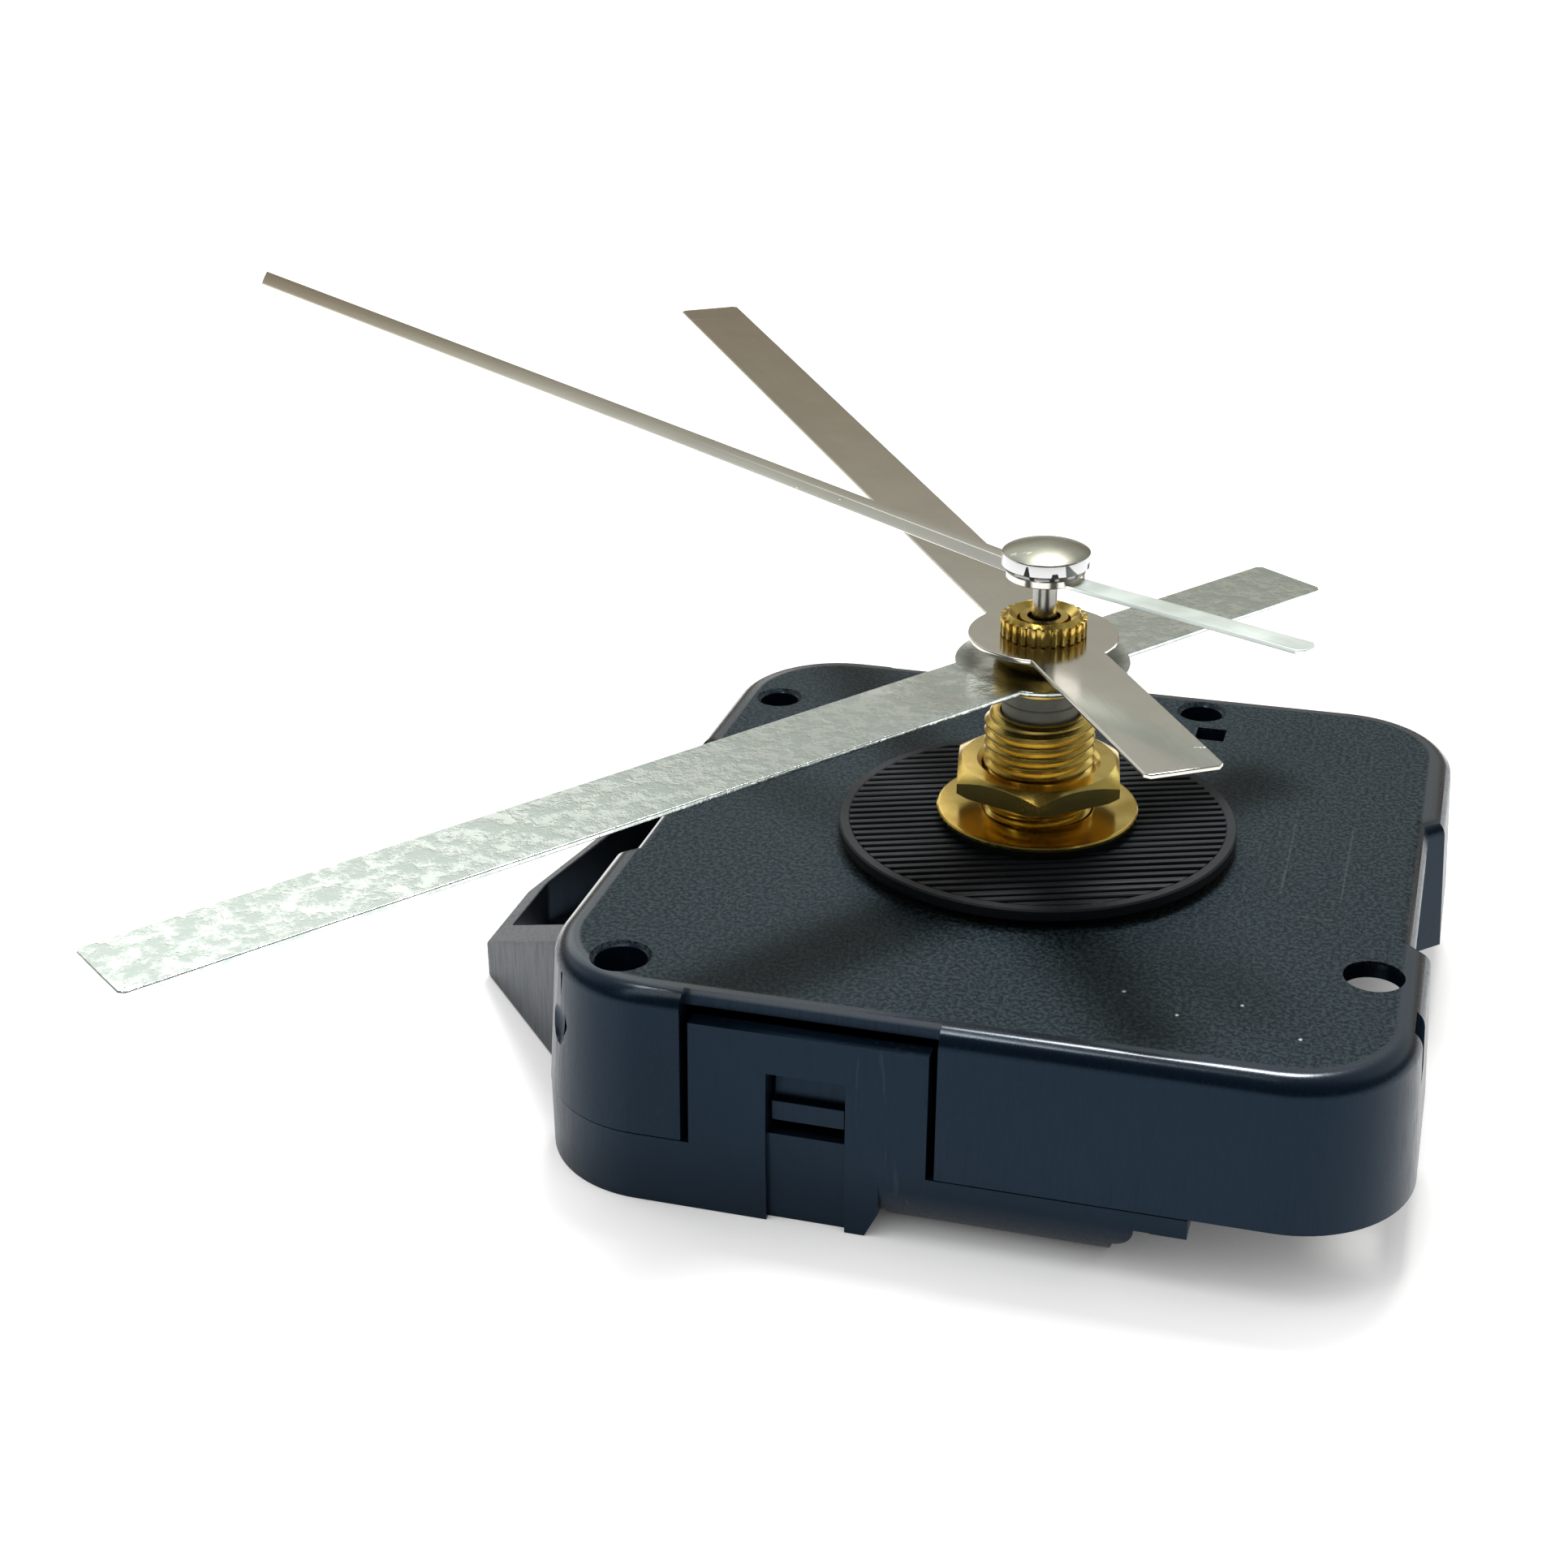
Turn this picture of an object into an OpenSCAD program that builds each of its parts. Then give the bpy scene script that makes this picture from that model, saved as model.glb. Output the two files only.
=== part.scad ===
// Quartz clock movement with three hands, lying on its back with the hands up.
// Origin: the hand axis at the front face of the case. +Z towards the hands,
// +X towards the battery bay (6 o'clock), -X towards the hanger (12 o'clock).

/* [Case] */
// Width of the case along X
case_w = 56; // [55.5:0.5:60]
// Length of the case along Y
case_l = 56; // [55.5:0.5:60]
// Distance of the hand axis from the middle of the case, along X
axis_off_x = -0.2; // [-0.3:0.05:0.3]
// Distance of the hand axis from the middle of the case, along Y
axis_off_y = 0; // [-0.3:0.05:0.3]
// Thickness of the whole case
case_t = 15.5; // [15.4:0.1:17]
// Radius of the vertical corners
corner_r = 8.15; // [7.5:0.05:9]
// Radius of the rounded edge round the front face
edge_r = 1.25; // [0.6:0.05:1.6]
// Depth of the front shell, from the face to the parting line
shell_depth = 10.4; // [10:0.1:10.8]
// Wall thickness of both shells
wall_t = 1.3; // [1.1:0.05:1.5]
// Thickness of the front face
face_t = 1.2; // [1:0.05:1.3]
// Thickness of the back face
back_t = 1.2; // [1:0.05:1.3]
// Slope of the outer walls, degrees
draft = 4; // [2:0.5:4.5]
// Depth of the shallow recesses in the left and right walls
side_recess = 1; // [0.5:0.1:1.1]
// Wall thickness behind those recesses
recess_wall_t = 0.75; // [0.6:0.05:0.8]
// Length of those recesses
side_recess_l = 18.4; // [12:0.2:19]

/* [Battery bay] */
// Diameter of the AA cell
cell_d = 14.5; // [13.8:0.1:14.6]
// Length of the AA cell
cell_l = 50.5; // [48:0.5:51]
// Free space on each side of the cell
cell_gap = 0.25; // [0.1:0.05:0.4]
// Distance of the cell from the hand axis, along X
cell_x = 18.55; // [18.4:0.05:18.6]
// Thickness of the wall between bay and mechanism
bay_wall_t = 1.1; // [0.8:0.1:1.2]
// Thickness of the contact sheet
contact_t = 0.3; // [0.2:0.05:0.4]
// Width of the contact plates
contact_w = 5; // [4:0.5:6]
// Height of the contact plates
contact_h = 5.6; // [4.5:0.1:8]

/* [Latches and cover edge] */
// Width of a latch panel
latch_w = 15.65; // [14:0.1:17]
// Middle of the latch panels, along X
latch_x = -8.97; // [-9.5:0.01:-8.5]
// Depth of the latch panel's top edge below the face
latch_top = 1.85; // [1.6:0.05:3]
// Thickness of the latch panels
latch_t = 1.2; // [0.9:0.1:1.3]
// Gap round the latch panels
latch_gap = 0.55; // [0.3:0.05:0.6]
// Width of the window in a latch panel
window_w = 5.22; // [4:0.1:7]
// Depth of the window's top below the face
window_top = 4.65; // [4.2:0.05:5.2]
// Depth of the window's bottom below the face
window_bottom = 9.1; // [8.9:0.05:9.3]
// Depth of the channel that runs down from the window
channel_t = 0.5; // [0.3:0.05:0.7]
// Height of the catch in the window
catch_h = 1.45; // [1:0.05:1.8]
// Radius of the rounded lower edge of the cover
under_r = 4.3; // [3:0.1:4.5]
// X where that rounded edge begins
under_x = -4.2; // [-5:0.1:-3]
// X where the cover's end walls stop
cover_end_x = 12; // [11.6:0.1:12.8]
// X where the cover's thin rails stop
rail_end_x = 15.3; // [14.5:0.1:16.5]
// Height of the rails
rail_h = 1.45; // [1:0.05:1.8]

/* [Hanger] */
// Reach of the hanger from the hand axis
hanger_reach = 41.2; // [38:0.1:44]
// Half width of the hanger at its outer end
hanger_tip_w = 4.2; // [3.5:0.1:6]
// Half width of the hanger where it meets the case
hanger_root_w = 18.2; // [16:0.1:18.5]
// Thickness of the hanger's wall
hanger_t = 2; // [1.4:0.1:2.2]
// Height of the hanger's outer end
hanger_tip_h = 2.9; // [2:0.1:4]
// Height of the hanger at the case
hanger_root_h = 12.4; // [10:0.1:14]
// Thickness of the plate that closes the hanger's back
hanger_plate_t = 0.8; // [0.6:0.1:1.2]
// Length of the hook slot along X
hook_slot_l = 9; // [7:0.1:9.2]
// Half width of the hook slot at its outer end
hook_slot_tip = 3; // [2.2:0.1:3.2]
// Half width of the hook slot at the case
hook_slot_root = 7; // [5:0.1:8]

/* [Holes in the face] */
// Radius of the front left screw hole
hole_a_r = 1.75; // [1.3:0.05:1.9]
// Radius of the back left screw hole
hole_b_r = 1.5; // [1.2:0.05:1.7]
// Radius of the hole into the battery bay
hole_c_r = 1.95; // [1.5:0.05:2]
// Radius of the hole near the back right corner
hole_d_r = 1.6; // [1.2:0.05:1.8]
// Depth of the blind screw holes
hole_depth = 5.5; // [4:0.5:6]
// Wall of the bosses round the screw holes
hole_boss_t = 0.9; // [0.8:0.1:1]

/* [Threaded post and dial fastening] */
// Outer radius of the post's thread
post_r = 3.85; // [3.7:0.05:3.95]
// Height of the post above the face
post_h = 9.75; // [8:0.05:10.4]
// Pitch of the thread
thread_pitch = 0.75; // [0.6:0.05:1]
// Depth of the thread
thread_depth = 0.32; // [0.2:0.02:0.4]
// Radius of the post's flange under the face
post_flange_r = 5.5; // [5:0.1:6]
// Thickness of that flange
post_flange_t = 0.6; // [0.5:0.05:0.7]
// Radius of the raised seat round the post
seat_r = 5.6; // [5:0.1:6.5]
// Height of the raised seat
seat_h = 1.15; // [0.9:0.05:1.4]
// Radius of the rubber gasket
gasket_r = 14; // [12:0.1:16]
// Thickness of the gasket
gasket_t = 0.9; // [0.8:0.05:1.2]
// How far the gasket's rim hangs lower than its middle
gasket_dish = 0.6; // [0.4:0.05:0.85]
// Radius of the brass washer
washer_r = 7.07; // [6.5:0.1:9]
// Thickness of the brass washer
washer_t = 0.43; // [0.3:0.02:0.6]
// Width of the hex nut across its flats
nut_af = 11.2; // [10.5:0.1:12]
// Height of the hex nut
nut_h = 1.6; // [1.4:0.05:2]
// Height of the hex nut above the face
nut_z = 4.35; // [3.6:0.05:4.6]
// Width of the hex nut's top chamfer
nut_chamfer = 1.1; // [0.6:0.1:1.2]

/* [Hands] */
// Thickness of the sheet of the hands
hand_t = 0.35; // [0.25:0.05:0.4]
// Height of the hour hand above the face
hour_hand_z = 13.5; // [13.3:0.05:13.6]
// Direction of the hour hand
hour_hand_dir = 233.8; // [225:0.2:243]
// Length of the hour hand
hour_hand_l = 68.4; // [50:0.2:75]
// Width of the hour hand at the hub
hour_hand_w = 6.6; // [4:0.1:7.5]
// Width of the hour hand at the tip
hour_tip_w = 6.1; // [3:0.1:7.5]
// Length of the hour hand's tail
hour_tail_l = 25; // [15:0.1:30]
// Width of the hour hand's tail
hour_tail_w = 6.1; // [3:0.1:7.5]
// Radius of the hour hand's hub disc
hour_hub_r = 6; // [4.5:0.1:6.5]
// Height of the minute hand above the face
minute_hand_z = 15.45; // [15.4:0.05:15.6]
// Direction of the minute hand
minute_hand_dir = 122.4; // [115:0.2:131]
// Length of the minute hand
minute_hand_l = 91.5; // [60:0.5:96]
// Width of the minute hand at the hub
minute_hand_w = 4.95; // [3.5:0.05:6]
// Width of the minute hand at the tip
minute_tip_w = 5.75; // [3:0.05:6]
// Length of the minute hand's tail
minute_tail_l = 23.1; // [15:0.2:28]
// Width of the minute hand's tail
minute_tail_w = 5.2; // [3:0.05:6]
// Radius of the minute hand's hub disc
minute_hub_r = 5.14; // [4.5:0.1:6]
// Height of the second hand above the face
second_hand_z = 20.1; // [19.4:0.1:20.6]
// Direction of the second hand
second_hand_dir = 149; // [140:1:158]
// Length of the second hand
second_hand_l = 98.3; // [70:0.1:105]
// Width of the second hand
second_hand_w = 2.2; // [1.6:0.1:2.6]
// Height of the bevelled back along the second hand
second_crown = 0.3; // [0.1:0.05:0.4]
// Slope of the second hand's long side, degrees
second_rise = 1.9; // [0:0.1:2.2]
// Length of the second hand's tail
second_tail_l = 21.4; // [14:0.2:26]
// Width of the second hand's tail
second_tail_w = 1.85; // [1:0.05:2.2]
// Slope of the second hand's tail, degrees
second_tail_rise = 2.6; // [0:0.2:3]
// Radius of the second hand's hub disc
second_hub_r = 2.7; // [1.8:0.1:2.9]
// Radius of the cap on the second hand
cap_r = 3; // [2.5:0.1:3.5]
// Height of the cap's rim
cap_rim_h = 0.9; // [0.7:0.05:1.2]
// Height of the cap's dome above its rim
cap_dome_h = 0.7; // [0.3:0.05:0.9]
// Radius of the knurled minute hand nut
hand_nut_r = 2.96; // [2.6:0.02:3.2]
// Height of the knurled nut
hand_nut_h = 1.48; // [1.3:0.02:1.6]
// Number of teeth on the knurled nut
hand_nut_teeth = 26; // [16:1:30]

/* [Tubes and arbors] */
// Radius of the second arbor
second_arbor_r = 0.5; // [0.45:0.01:0.52]
// Outer radius of the second hand's tube
second_tube_r = 0.84; // [0.75:0.01:0.95]
// Outer radius of the minute tube
minute_tube_r = 1.75; // [1.74:0.01:1.78]
// Radius of the minute tube's top, which carries the hand
minute_tip_r = 1.65; // [1.5:0.01:1.68]
// Radius of the minute tube below its pinion
minute_foot_r = 1.45; // [1.35:0.01:1.5]
// Radius of the open end of the minute tube
minute_mouth_r = 1.15; // [1.05:0.01:1.2]
// Outer radius of the hour tube
hour_tube_r = 2.7; // [2.65:0.01:2.8]
// Radius of the hour tube's tip, inside the collet
hour_tip_r = 2.15; // [2.1:0.01:2.2]
// Radius of the brass collet in the hour hand
collet_r = 2.45; // [2.35:0.01:2.5]
// Radius of the collet's ring under the hour hand
collet_ring_r = 2.78; // [2.6:0.02:3]
// Height of the collet's ring
collet_ring_h = 1.6; // [0.5:0.1:2]
// Radius of the collet above the hour hand
collet_top_r = 3.35; // [2.9:0.05:3.6]
// Radial clearance of turning tubes
tube_gap = 0.07; // [0.04:0.01:0.08]
// Radial clearance of arbors in the plates
arbor_gap = 0.05; // [0.03:0.01:0.08]
// Radius of the train arbors
arbor_r = 0.4; // [0.35:0.01:0.45]
// Radius of the setting stem
stem_r = 0.9; // [0.8:0.02:1]

/* [Gear train] */
// Distance from the hand axis to the setting stem
setting_dist = 8.16; // [8.1:0.01:8.25]
// Direction of the setting stem
setting_dir = 250; // [247:1:252]
// Distance from the hand axis to the third wheel
third_dist = 7.2; // [7.15:0.01:7.25]
// Direction of the third wheel
third_dir = 120; // [117:1:122]
// Distance from the hand axis to the intermediate wheel
inter_dist = 7.35; // [7.3:0.01:7.45]
// Direction of the intermediate wheel
inter_dir = 200; // [198:1:202]
// Distance from the intermediate wheel to the rotor
rotor_dist = 5.76; // [5.7:0.01:5.85]
// Thickness of the large wheels
wheel_t = 0.6; // [0.5:0.05:0.7]
// Thickness of the wheels of the motion work
motion_wheel_t = 0.75; // [0.6:0.05:0.8]
// Radius of the rotor's magnet
magnet_r = 3; // [2.5:0.1:3.1]
// Height of the rotor's magnet
magnet_h = 2.4; // [1.8:0.1:2.5]
// Air gap round the magnet
air_gap = 0.35; // [0.3:0.05:0.5]
// Thickness of the stator
stator_t = 0.7; // [0.5:0.05:0.8]
// Radius of the coil winding
coil_r = 2.9; // [2.4:0.1:3]
// Length of the coil winding
coil_l = 16.8; // [15:0.2:17.2]
// Radius of the setting knob
knob_r = 4.3; // [3.8:0.1:4.6]
// Height of the setting knob
knob_h = 2.8; // [2.4:0.1:2.9]
// Thickness of the middle plate
plate_t = 0.6; // [0.5:0.05:0.65]
// Thickness of the train bridge
bridge_t = 0.7; // [0.5:0.05:0.75]
// Radius of the columns that carry the plates
column_r = 2; // [1.6:0.05:2.1]
// Radius of the pins that hold the plates
pin_r = 1; // [0.8:0.05:1.1]

/* [Circuit] */
// Length of the circuit board
board_l = 20; // [16:0.5:21]
// Width of the circuit board
board_w = 8.5; // [7:0.5:9]
// Thickness of the circuit board
board_t = 1; // [0.8:0.1:1.2]
// Length of the quartz crystal's can
crystal_l = 6; // [5:0.1:7]
// Radius of the quartz crystal's can
crystal_r = 1; // [0.8:0.05:1.1]
// Radius of the chip's resin cover
blob_r = 3; // [2.4:0.1:3.2]
// Height of the chip's resin cover
blob_h = 1.2; // [0.8:0.1:1.4]

/* [Hidden] */

// Round surfaces
$fn = 96;
// Small overlap of cutting tools past the faces that they cut
cut = 0.5;
// Reach of cutting tools past the sloped walls
reach = 1.5;

// Case outline
x_left = axis_off_x - case_w / 2;
x_right = axis_off_x + case_w / 2;
y_near = axis_off_y - case_l / 2;
y_far = axis_off_y + case_l / 2;
z_back = -case_t;
z_part = -shell_depth;
z_inner = -face_t;
z_floor = z_back + back_t;

// How far the sloped walls stand out at a depth, and at the parting line
function spread_at(depth) = (depth - edge_r) * tan(draft);
spread = spread_at(shell_depth);
y_skirt = y_near - spread;

// Battery bay
bay_x0 = cell_x - cell_d / 2 - cell_gap;
bay_x1 = cell_x + cell_d / 2 + cell_gap;
chamber_x1 = bay_x0 - bay_wall_t;
bay_y0 = y_near + wall_t;
bay_y1 = y_far - wall_t;
cell_z = z_inner - cell_gap / 2 - cell_d / 2;
cover_x1 = bay_x0 - cell_gap;

// Layers of the motion work, from the face down
layer_gap = 0.2;
hour_wheel_z = z_inner - post_flange_t - layer_gap;
setting_wheel_z = hour_wheel_z - motion_wheel_t - 2 * layer_gap;
plate_z = -4.3;
centre_wheel_z = plate_z - plate_t - 2.5 * layer_gap;
third_wheel_z = centre_wheel_z - wheel_t - 4 * layer_gap;
second_wheel_z = third_wheel_z - wheel_t - 7 * layer_gap;
inter_wheel_z = second_wheel_z - wheel_t - 5 * layer_gap;
bridge_z = inter_wheel_z - wheel_t - 3 * layer_gap;
pinion_over = 0.3;
knob_z = z_back + layer_gap;

// Teeth
minute_pinion_n = 12;
setting_wheel_n = 36;
setting_pinion_n = 10;
hour_wheel_n = 40;
second_pinion_n = 8;
third_wheel_n = 60;
third_pinion_n = 8;
centre_wheel_n = 64;
inter_pinion_n = 10;
second_wheel_n = 60;
rotor_pinion_n = 8;
inter_wheel_n = 40;
function pair_module(distance, n1, n2) = 2 * distance / (n1 + n2);
m_minute = pair_module(setting_dist, minute_pinion_n, setting_wheel_n);
m_hour = pair_module(setting_dist, setting_pinion_n, hour_wheel_n);
m_third = pair_module(third_dist, second_pinion_n, third_wheel_n);
m_centre = pair_module(third_dist, third_pinion_n, centre_wheel_n);
m_second = pair_module(inter_dist, inter_pinion_n, second_wheel_n);
m_rotor = pair_module(rotor_dist, rotor_pinion_n, inter_wheel_n);
tooth_addendum = 0.75;
tooth_dedendum = 1.05;
tooth_share_tip = 0.18;
tooth_share_pitch = 0.4;
tooth_share_root = 0.52;

// Places of the axes
function polar(distance, dir) = [distance * cos(dir), distance * sin(dir)];
setting_at = polar(setting_dist, setting_dir);
third_at = polar(third_dist, third_dir);
inter_at = polar(inter_dist, inter_dir);
rotor_dir = 180;
rotor_at = inter_at + polar(rotor_dist, rotor_dir);
column_at = [[6.1, 11], [6.1, -12], [-12, 10.5], [-12.5, -11.5]];

// Coil and stator
coil_y = rotor_at[1] + 0.5;
flange_t = 0.6;
flange_r = coil_r + 0.4;
core_w = 2.4;
core_t = 0.8;
spool_r = 1.7;
core_l = coil_l + 2 * flange_t + 7.2;
stator_z = third_wheel_z - 4 * layer_gap;
stator_hole_r = magnet_r + air_gap;
stator_ring_w = 0.85;
coil_x = (x_left + side_recess + recess_wall_t + rotor_at[0] - stator_hole_r - stator_ring_w) / 2;
stator_leg_w = 3;
stator_arm_w = 1.8;
stator_leg_x = rotor_at[0] - stator_hole_r - 0.5;
stator_slot = 0.4;
stator_post_r = 1.2;
coil_z = stator_z - stator_t - core_t / 2;

// Contact strips and circuit board
strip_w = 3;
strip_z = -hole_depth - face_t - 2 * layer_gap;
board_x = -5.5;
board_y = y_far - wall_t - board_w / 2 - 2.2;
board_z = strip_z - layer_gap;
board_post_r = 1.5;
board_post_dx = 8;

// Holes in the face, drawn to the wall that they stand by
hole_a_at = [x_left + 5.6, y_near + 3.9];
hole_b_at = [x_left + 3.7, y_far - 9.3];
hole_c_at = [x_right - 3.35, y_near + 13.9];
hole_d_at = [chamber_x1 - 1.45, y_far - 3.55];
pocket_at = [chamber_x1 - 0.2, y_far - 7.7];
pocket_size = 2.2;
pocket_depth = 1.1;
hole_chamfer = 0.3;

// Colours
shell_colour = [0.055, 0.07, 0.085];
brass_colour = [0.72, 0.56, 0.22];
sheet_colour = [0.72, 0.73, 0.71];
steel_colour = [0.6, 0.61, 0.63];
nylon_colour = [0.62, 0.62, 0.65];
gear_colour = [0.85, 0.85, 0.82];

// A flat rectangle with round corners, from corner to corner
module round_rect(x0, x1, y0, y1, r) {
    translate([x0 + r, y0])
        square([x1 - x0 - 2 * r, y1 - y0]);
    translate([x0, y0 + r])
        square([x1 - x0, y1 - y0 - 2 * r]);
    for (x = [x0 + r, x1 - r], y = [y0 + r, y1 - r])
        translate([x, y])
            circle(r);
}

// The case's outline, drawn in by a distance
module case_outline(inset) {
    round_rect(x_left + inset, x_right - inset, y_near + inset, y_far - inset, corner_r - inset);
}

// A block from corner to corner
module block(x0, x1, y0, y1, z0, z1) {
    translate([x0, y0, z0])
        cube([x1 - x0, y1 - y0, z1 - z0]);
}

// A vertical cylinder at a place in plan
module rod(at, r, z0, z1) {
    translate([at[0], at[1], z0])
        cylinder(r = r, h = z1 - z0);
}

// The part of a plan left of an x
module left_of(x) {
    translate([x_left - reach, y_near - reach])
        square([x - x_left + reach, case_l + 2 * reach]);
}

// A gear's outline with straight-flanked teeth, the first one along +X turned by phase
module gear_outline(teeth, m, phase) {
    pitch = 360 / teeth;
    r_pitch = m * teeth / 2;
    r_tip = r_pitch + m * tooth_addendum;
    r_root = r_pitch - m * tooth_dedendum;
    polygon([for (i = [0 : teeth - 1])
        for (p = [[r_root, -tooth_share_root], [r_pitch, -tooth_share_pitch], [r_tip, -tooth_share_tip],
                [r_tip, tooth_share_tip], [r_pitch, tooth_share_pitch], [r_root, tooth_share_root]])
            polar(p[0], phase + pitch * (i + p[1] / 2))]);
}

module gear(at, teeth, m, phase, z_top, thickness) {
    translate([at[0], at[1], z_top - thickness])
        linear_extrude(thickness)
            gear_outline(teeth, m, phase);
}

// Phase of a gear that has a gap where its partner, in the direction dir, has a tooth
function gap_phase(teeth, dir) = dir + 180 + 180 / teeth;

// Half of the front shell's section, with the sloped side and the rounded upper edge
module shell_section(half) {
    polygon([[0, z_part], [half + spread, z_part], [half, -edge_r], [0, -edge_r]]);
    translate([0, z_part])
        square([half - edge_r, shell_depth]);
    translate([half - edge_r, -edge_r])
        circle(edge_r);
}

module shell_bar(length, half) {
    rotate([90, 0, 0])
        translate([0, 0, -length / 2])
            linear_extrude(length) {
                shell_section(half);
                mirror([1, 0])
                    shell_section(half);
            }
}

// The front shell's outer form
module front_shell() {
    straight_x = case_w - 2 * corner_r;
    straight_y = case_l - 2 * corner_r;
    translate([axis_off_x, axis_off_y, 0]) {
        shell_bar(straight_y, case_w / 2);
        rotate([0, 0, 90])
            shell_bar(straight_x, case_l / 2);
        for (q = [[1, 1, 0], [-1, 1, 90], [-1, -1, 180], [1, -1, 270]])
            translate([q[0] * straight_x / 2, q[1] * straight_y / 2, 0])
                rotate([0, 0, q[2]])
                    rotate_extrude(angle = 90)
                        shell_section(corner_r);
    }
}

// The space for a latch panel in the near wall, also used for the far wall
latch_x0 = latch_x - latch_w / 2;
latch_x1 = latch_x + latch_w / 2;
window_x0 = latch_x - 0.05 - window_w / 2;
window_x1 = latch_x - 0.05 + window_w / 2;
lip_t = 1.2;
lip_back = 1.15;
inner_wall_t = 1.2;
catch_gap = 0.2;
catch_out = 1.25;
catch_ramp = 0.5;
catch_foot = 0.8;

// Whatever is drawn for the near side, and its like on the far side
module both_sides() {
    children();
    translate([0, 2 * axis_off_y, 0])
        mirror([0, 1, 0])
            children();
}

module latch_pocket() {
    block(latch_x0 - latch_gap, latch_x1 + latch_gap, y_near - reach, y_near + latch_t + latch_gap / 2,
        z_part - cut, -lip_t);
    block(latch_x0 - latch_gap, latch_x1 + latch_gap, y_near - reach, y_near + lip_back, -lip_t - cut, cut);
}

module latch_wall() {
    y0 = y_near + latch_t + latch_gap / 2;
    block(latch_x0 - 2 * latch_gap, latch_x1 + 2 * latch_gap, y0, y0 + inner_wall_t, z_part, z_inner);
}

// The catch that stands in the window of the latch panel
module latch_catch() {
    y0 = y_near + latch_t + latch_gap / 2;
    foot = -window_bottom + catch_foot;
    translate([window_x0 + catch_gap, 0, 0])
        rotate([90, 0, 90])
            linear_extrude(window_w - 2 * catch_gap)
                polygon([[y0 + inner_wall_t / 2, foot], [y0 - catch_out, foot], [y0 - catch_out, foot + catch_h],
                    [y0 - catch_ramp, foot + catch_h], [y0 - catch_ramp / 2, -window_top - catch_gap],
                    [y0 + inner_wall_t / 2, -window_top - catch_gap]]);
}

module face_hole(at, r, depth) {
    rod(at, r, -depth, cut);
    translate([at[0], at[1], -hole_chamfer])
        cylinder(r1 = r, r2 = r + hole_chamfer + cut, h = hole_chamfer + cut);
}

module screw_boss(at, r) {
    rod(at, r + hole_boss_t, -hole_depth - face_t, z_inner + cut);
}

// Front shell with the battery bay, the catches, the screw bosses and the plate columns
module front_case() {
    color(shell_colour)
    difference() {
        union() {
            difference() {
                front_shell();
                translate([0, 0, z_part - cut])
                    linear_extrude(shell_depth + cut - face_t) {
                        intersection() {
                            case_outline(wall_t);
                            left_of(chamber_x1);
                        }
                        difference() {
                            case_outline(wall_t);
                            left_of(bay_x0);
                        }
                    }
            }
            both_sides() {
                latch_wall();
                side_block(x_left, 1);
                side_block(x_right, -1);
            }
            intersection() {
                union() {
                    screw_boss(hole_a_at, hole_a_r);
                    screw_boss(hole_b_at, hole_b_r);
                    screw_boss(hole_d_at, hole_d_r);
                }
                translate([0, 0, z_part])
                    linear_extrude(shell_depth - face_t / 2)
                        case_outline(0);
            }
            for (at = column_at) {
                rod(at, column_r, plate_z, z_inner + cut);
                rod(at, pin_r, bridge_z - bridge_t, z_inner);
            }
            for (dx = [-board_post_dx, board_post_dx])
                rod([board_x + dx, board_y], board_post_r, board_z, z_inner + cut);
            for (y = [-8, 10])
                block(bay_x1, x_right - wall_t / 2, y, y + bay_wall_t, z_part, z_inner);
            rod([0, 0], seat_r, -cut, seat_h);
        }
        both_sides() {
            latch_pocket();
        }
        block(x_left - reach, x_left + side_recess, axis_off_y - side_recess_l / 2, axis_off_y + side_recess_l / 2,
            z_part - cut, cut);
        block(x_right - side_recess, x_right + reach, axis_off_y - side_recess_l / 2, axis_off_y + side_recess_l / 2,
            z_part - cut, cut);
        rod([0, 0], post_r + arbor_gap, z_inner - cut, seat_h + cut);
        face_hole(hole_a_at, hole_a_r, hole_depth);
        face_hole(hole_b_at, hole_b_r, hole_depth);
        rod(hole_c_at, hole_c_r, -face_t - cut, cut);
        face_hole(hole_d_at, hole_d_r, hole_depth);
        rod(setting_at, stem_r + arbor_gap, z_inner - cut, z_inner / 2);
        translate([pocket_at[0] - pocket_size / 2, pocket_at[1] - pocket_size / 2, -pocket_depth])
            cube([pocket_size, pocket_size, pocket_depth + cut]);
        contact_slots();
    }
    color(shell_colour)
    both_sides()
        latch_catch();
}

// Extra wall behind the recesses in the left and right walls
module side_block(x_wall, inward) {
    depth = side_recess + recess_wall_t;
    x0 = inward > 0 ? x_wall + wall_t / 2 : x_wall - depth;
    block(x0, x0 + depth - wall_t / 2, axis_off_y - side_recess_l / 2 - wall_t, axis_off_y, z_part, z_inner);
}

// Slots in the bay's wall for the contact strips
contact_z = z_part + layer_gap;
module contact_slots() {
    block(chamber_x1 - cut, bay_x0 + cut, bay_y0, bay_y0 + 2 * contact_t, strip_z - strip_w, strip_z);
    block(chamber_x1 - cut, bay_x0 + cut, bay_y1 - 2 * contact_t, bay_y1, strip_z - strip_w, strip_z);
    for (y0 = [bay_y0, bay_y1 - 2 * contact_t])
        block(cell_x - contact_w / 2 - cell_gap, cell_x + contact_w / 2 + cell_gap, y0, y0 + 2 * contact_t,
            z_part - cut, contact_z + contact_h + cell_gap);
}

// Rounded lower edge between the block under the latch and the end of the cover
module under_cut() {
    length = cover_end_x - under_x + cut;
    translate([under_x, y_skirt, z_back])
        difference() {
            translate([0, -cut, -cut])
                cube([length, under_r + cut, under_r + cut]);
            translate([-cut, under_r, under_r])
                rotate([0, 90, 0])
                    cylinder(r = under_r, h = length + 2 * cut);
        }
}

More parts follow.
